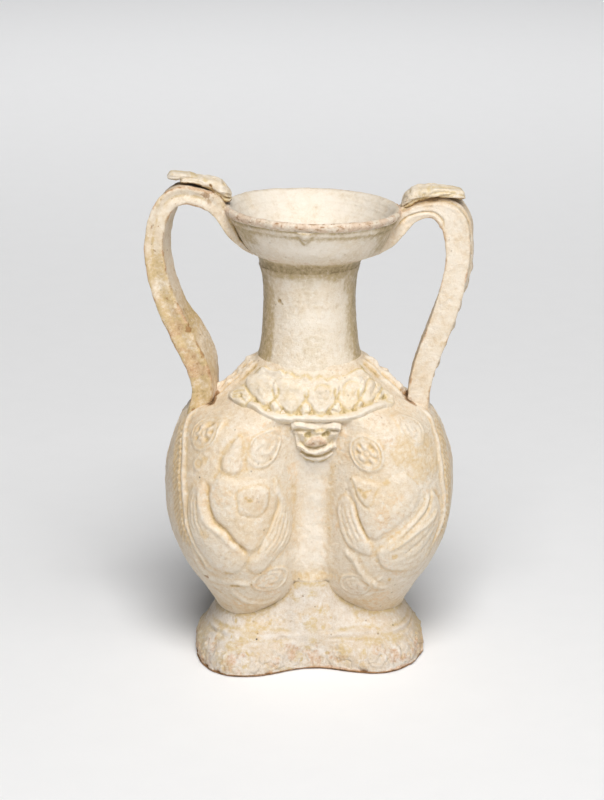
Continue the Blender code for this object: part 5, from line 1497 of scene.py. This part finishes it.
def spine(side):
    """Row of low scallops along the outer side of the strap."""
    name = "left" if side < 0 else "right"
    f, c, n, t, turn, deep = strap_run(side, 1100)
    keep = (f >= 0.47) & (f <= 0.915)
    f, c, n, t, turn, deep = (a[keep] for a in (f, c, n, t, turn, deep))
    g = (f - f[0]) / (f[-1] - f[0])
    turns = g * 6.6
    wave = np.sin(math.pi * (turns % 1.0) ** 1.35) ** 1.1
    grow = smooth(g / 0.14) * smooth((1 - g) / 0.05) * (0.8 + 0.25 * np.sin(2.3 * turns))
    low = t - 0.9
    top = t - 0.05 + grow * (0.05 + (1.15 if side > 0 else 0.95) * wave)
    a = np.linspace(0, 2 * math.pi, 30, endpoint=False)
    place = 0.60 if side > 0 else 0.66
    u = low[:, None] + (top - low)[:, None] * (0.5 + 0.5 * power(np.cos(a), 2.3)[None, :])
    w = (place * deep)[:, None] + (2.6 * (0.72 + 0.28 * wave))[:, None] * power(np.sin(a), 2.3)[None, :]
    P = strap_point(c, n, turn, deep, u, w)
    mid = strap_point(c, n, turn, deep, (0.5 * (low + top))[:, None], (place * deep)[:, None])
    N = grid_normals(P, P - mid, True)
    P = P + N * (0.10 * lumps(P, 2.6, 2, 131))[..., None]
    crest = smooth((np.cos(a)[None, :] - 0.2) / 0.5) * np.ones_like(u)
    # olive off the crests and between the scallops: pooled glaze and painted shade
    fields = {"pool": 0.60 * (1 - crest) + 0.6 * (1 - wave)[:, None] * np.ones_like(u),
              "bare": 0.52 * crest * wave[:, None], "high": 0.4 * crest,
              "rust_and_shade": 0.30 * smooth((lumps(P, 4.0, 2, 133) - 0.1) / 0.4)}
    rows = len(f)
    caps = [tuple(range(30)), tuple((rows - 1) * 30 + k for k in range(30))]
    piece("handle_spine_" + name, GLAZE_HANDLE, P.reshape(-1, 3),
          [grid_quads(rows, 30, 0, True), caps], fields)


# -------------------------------------------------------------- dragon heads
# distance from the axis, top, underside and half width, from the snout back
HEAD_LEFT = [(30.6, 190.4, 187.2, 1.8), (31.9, 192.4, 186.6, 3.2), (32.8, 193.7, 186.6, 4.0), (34.5, 195.0, 187.4, 4.6),
             (37.2, 196.3, 189.6, 5.1), (40.9, 197.0, 192.5, 5.3), (45.4, 197.3, 194.1, 5.3), (48.0, 197.2, 194.2, 5.0),
             (49.8, 196.8, 194.4, 4.2), (50.8, 196.1, 194.8, 2.8)]
EAR_LEFT = [(42.5, 197.0, 195.4, 2.0), (44.8, 197.8, 195.8, 3.0), (47.4, 198.6, 196.1, 3.7), (50.4, 199.1, 195.9, 4.2),
            (52.4, 199.1, 195.4, 4.0), (53.8, 198.8, 195.4, 3.4), (55.0, 198.2, 195.7, 2.5), (55.7, 197.4, 196.3, 1.3)]
HEAD_RIGHT = [(36.2, 185.6, 183.6, 1.8), (37.2, 188.0, 183.5, 3.2), (38.6, 190.2, 184.0, 4.2), (41.0, 191.8, 185.2, 4.9),
              (44.4, 192.6, 186.4, 5.3), (48.7, 192.9, 187.6, 5.3), (52.3, 192.4, 188.3, 5.0), (54.8, 191.9, 188.6, 4.4),
              (56.6, 191.2, 188.9, 3.2)]
EAR_RIGHT = [(46.0, 191.4, 189.4, 2.0), (49.6, 192.0, 188.4, 3.8), (53.6, 192.3, 187.6, 4.6), (57.0, 191.8, 187.0, 4.6),
             (59.2, 190.9, 186.7, 4.0), (60.5, 189.6, 186.8, 3.0), (61.2, 188.2, 187.1, 1.6)]


def loft(rows, side, count, sides, m=2.6):
    """Closed tube of soft square sections that follows a top and an underside."""
    xs = np.array([q[0] for q in rows])
    g = np.linspace(0, 1, count)
    x = xs[0] + (xs[-1] - xs[0]) * (0.55 * g + 0.45 * (0.5 - 0.5 * np.cos(math.pi * g)))
    top, bot, hw = (table(rows, x, k) for k in (1, 2, 3))
    a = np.linspace(0, 2 * math.pi, sides, endpoint=False)[None, :]
    up = power(np.cos(a), m) * np.ones((count, 1))
    y = hw[:, None] * power(np.sin(a), m)
    z = 0.5 * (top + bot)[:, None] + 0.5 * (top - bot)[:, None] * up
    P = np.stack([side * np.repeat(x[:, None], sides, 1), y, z], -1)
    mid = np.stack([side * x, 0 * x, 0.5 * (top + bot)], -1)[:, None]
    N = grid_normals(P, P - mid, True)
    s = np.repeat((x - xs[0])[:, None], sides, 1)
    return P, N, s, np.abs(y), up, xs[-1] - xs[0]


def head(side):
    """Flat-skulled dragon head biting the rim: eyes, brows, mane and swept ears."""
    name = "left" if side < 0 else "right"
    shells, faces, got, start = [], [], {k: [] for k in FIELDS}, 0
    for part, rows in (("skull", HEAD_LEFT if side < 0 else HEAD_RIGHT), ("ear", EAR_LEFT if side < 0 else EAR_RIGHT)):
        count, sides = (170, 84) if part == "skull" else (110, 72)
        P, N, s, w, up, total = loft(rows, side, count, sides, 2.15)
        h = np.zeros_like(s)
        pool, rust_and_shade, high = np.zeros_like(s), np.zeros_like(s), np.zeros_like(s)
        top = smooth((up - 0.0) / 0.5)
        if part == "skull":
            eye = 1.0 if side < 0 else 0.25
            marks = [  # shape, height, pool, rust, high
                (bump(s - 2.8, 0.8) * bump(w - 1.8, 0.8) * top, -0.50, 0.6, 0.2, 0),
                (bump(s - 5.4, 2.4) * bump(w, 1.2) * top, 0.45, 0, 0, 0.5),
                (bump(up + 0.30 + 0.02 * s, 0.16) * smooth((11.0 - s) / 3.0), -0.75, 0.7, 0.40 * eye, 0),
                (bump(s - 8.2, 1.5) * smooth((w - 2.6) / 1.2) * bump(up - 0.30, 0.5), 0.60, 0, 0, 0.4),
                (bump(s - 8.2, 0.75) * smooth((w - 2.8) / 1.2) * bump(up - 0.05, 0.30), -0.9, 0.7, 1.0 * eye, 0),
                (bump(s - 10.4, 1.2) * smooth((w - 1.2) / 1.2) * top, -0.22, 0.45, 0, 0),
                (bump(s - 12.4, 1.6) * smooth((w - 1.0) / 1.2) * top, 0.20, 0, 0, 0.5),
                (bump(w, 0.8) * smooth((s - 8) / 3) * top, 0.40, 0, 0, 0.5),
                # ruffled muzzle over the rim
                (np.clip(np.cos(2 * math.pi * (up + 0.10 * s) / 0.45), 0, 1) * smooth((5.5 - s) / 2.0) * smooth((w - 0.8) / 0.8),
                 0.40, 0, 0, 0.5),
            ]
            locks = np.cos(2 * math.pi * (up - 0.03 * s) / 0.75)
            mane = smooth((s - 9.5) / 3.0) * smooth((w - 1.5) / 1.0)
        else:
            marks = [(bump(w, 1.1) * smooth((s - 4) / 2) * top, -0.35, 0.5, 0.2, 0),
                     (bump(s - total + 1.6, 1.2) * top, 0.25, 0.3, 0.15, 0.2)]
            locks = np.cos(2 * math.pi * (up - 0.05 * s) / 0.95)
            mane = smooth((s - 2.0) / 3.0) * smooth((w - 1.0) / 1.0)
        for d, amount, p, ru, hi in marks:
            h = h + amount * d
            pool, rust_and_shade, high = np.maximum(pool, p * d), np.maximum(rust_and_shade, ru * d), np.maximum(high, hi * d)
        deep = 0.10 if side < 0 else 0.30
        h = h + deep * locks * mane
        pool = np.maximum(pool, 1.6 * deep * np.clip(-locks, 0, 1) * mane)
        h = h + 0.24 * lumps(P, 3.6, 2, 141 + side) + 0.08 * noise(P, 1.6, 23) + 0.04 * noise(P, 0.9, 24)
        h = h * smooth(s / 1.0) * smooth((total - s) / 1.0)
        P = P + N * h[..., None]
        soft = blur(h, 5, True)
        crest = np.clip((h - soft) / 0.3, 0, 1)
        pool = np.maximum(pool, 0.5 * np.clip((soft - h) / 0.3, 0, 1))
        # painted shade on the underside of the skull and ear
        pool = np.maximum(pool, 1.0 * smooth((-up - 0.35) / 0.4))
        pool = np.maximum(pool, 0.36 * smooth((lumps(P, 5.0, 2, 145) - 0.05) / 0.4) * (0.7 if part == "skull" else 1.4))
        # painted shadow under the head, coloured as rust
        rust_and_shade = np.maximum(rust_and_shade, 0.60 * smooth((-up - 0.45) / 0.3))
        if part == "skull" and side < 0:
            rust_and_shade = np.maximum(rust_and_shade, 0.62 * bump(s - 4.6, 2.0) * smooth((-up + 0.1) / 0.5) * (0.8 + 0.9 * noise(P, 1.6, 147)))
        got["pool"].append(pool.ravel())
        got["high"].append(np.maximum(high, 0.6 * crest).ravel())
        got["bare"].append((0.45 * crest * smooth((lumps(P, 4.0, 2, 143) - 0.0) / 0.4)).ravel())
        got["rust_and_shade"].append(rust_and_shade.ravel())
        shells.append(P.reshape(-1, 3))
        faces.append(grid_quads(count, sides, start, True))
        faces.append([tuple(start + k for k in range(sides)), tuple(start + (count - 1) * sides + k for k in range(sides))])
        start += count * sides
    piece("dragon_head_" + name, GLAZE_RELIEF, np.concatenate(shells), faces,
          {k: np.concatenate(v) for k, v in got.items()})


for _side in (-1, 1):
    strap(_side)
    spine(_side)
    head(_side)


# -------------------------------------------------------------------- studio
def floor():
    n = 40
    xs = np.linspace(-6, 6, n)
    ys = np.linspace(-4, 9, n)
    verts = [(float(x), float(y), -0.00005) for y in ys for x in xs]
    me = bpy.data.meshes.new("studio_floor")
    me.from_pydata(verts, [], grid_quads(n, n).tolist())
    s = Shader("pale_paper")
    grain = s.noise(60, 3, 0.6)
    s.put(s.bsdf.inputs["Base Color"], s.mix(grain, (0.872, 0.875, 0.884), (0.894, 0.897, 0.906)))
    s.put(s.bsdf.inputs["Roughness"], s.math("ADD", s.math("MULTIPLY", grain, 0.1), 0.75))
    me.materials.append(s.mat)
    ob = bpy.data.objects.new("studio_floor", me)
    bpy.context.scene.collection.objects.link(ob)


floor()


def soft_box(name, place, target, size, watts, colour=(1, 1, 1)):
    light = bpy.data.lights.new(name, "AREA")
    light.shape = "RECTANGLE"
    light.size, light.size_y = size
    light.energy = watts
    light.color = colour
    ob = bpy.data.objects.new(name, light)
    bpy.context.scene.collection.objects.link(ob)
    ob.location = place
    d = np.array(target, float) - np.array(place, float)
    yaw = math.atan2(d[0], -d[1])
    pitch = math.atan2(math.hypot(d[0], d[1]), -d[2])
    ob.rotation_euler = (pitch, 0.0, math.atan2(d[1], d[0]) - math.pi / 2)
    return ob


soft_box("key", (0.05, -1.74, 2.36), (0, 0, 0.10), (1.5, 1.5), 96.0, (1.0, 0.994, 0.982))
soft_box("fill", (1.2, -1.1, 1.2), (0, 0, 0.10), (0.9, 0.9), 4.2, (1.0, 0.994, 0.982))
soft_box("back_top", (0.0, 1.6, 1.7), (0.0, 3.2, 0.0), (2.2, 1.6), 26.0)

world = bpy.data.worlds.new("studio")
world.use_nodes = True
world.node_tree.nodes["Background"].inputs["Color"].default_value = (0.95, 0.96, 1.0, 1.0)
world.node_tree.nodes["Background"].inputs["Strength"].default_value = 0.05
bpy.context.scene.world = world
bpy.context.scene.view_settings.view_transform = "Standard"

# -------------------------------------------------------------------- camera
VIEW_TURN = math.radians(2.5)
VIEW_DOWN = math.radians(16.502)
VIEW_FAR, VIEW_HIGH, VIEW_SIDE = 0.950, 0.38643, -0.003
cam = bpy.data.cameras.new("camera")
cam.sensor_fit = "VERTICAL"
cam.sensor_height = 36.0
cam.lens = 2463.8 * 36.0 / 800.0
cam_ob = bpy.data.objects.new("camera", cam)
bpy.context.scene.collection.objects.link(cam_ob)
ca, sa = math.cos(VIEW_TURN), math.sin(VIEW_TURN)
cam_ob.location = (VIEW_SIDE * ca - VIEW_FAR * sa, -VIEW_SIDE * sa - VIEW_FAR * ca, VIEW_HIGH)
cam_ob.rotation_euler = (math.pi / 2 - VIEW_DOWN, 0.0, -VIEW_TURN)
bpy.context.scene.camera = cam_ob
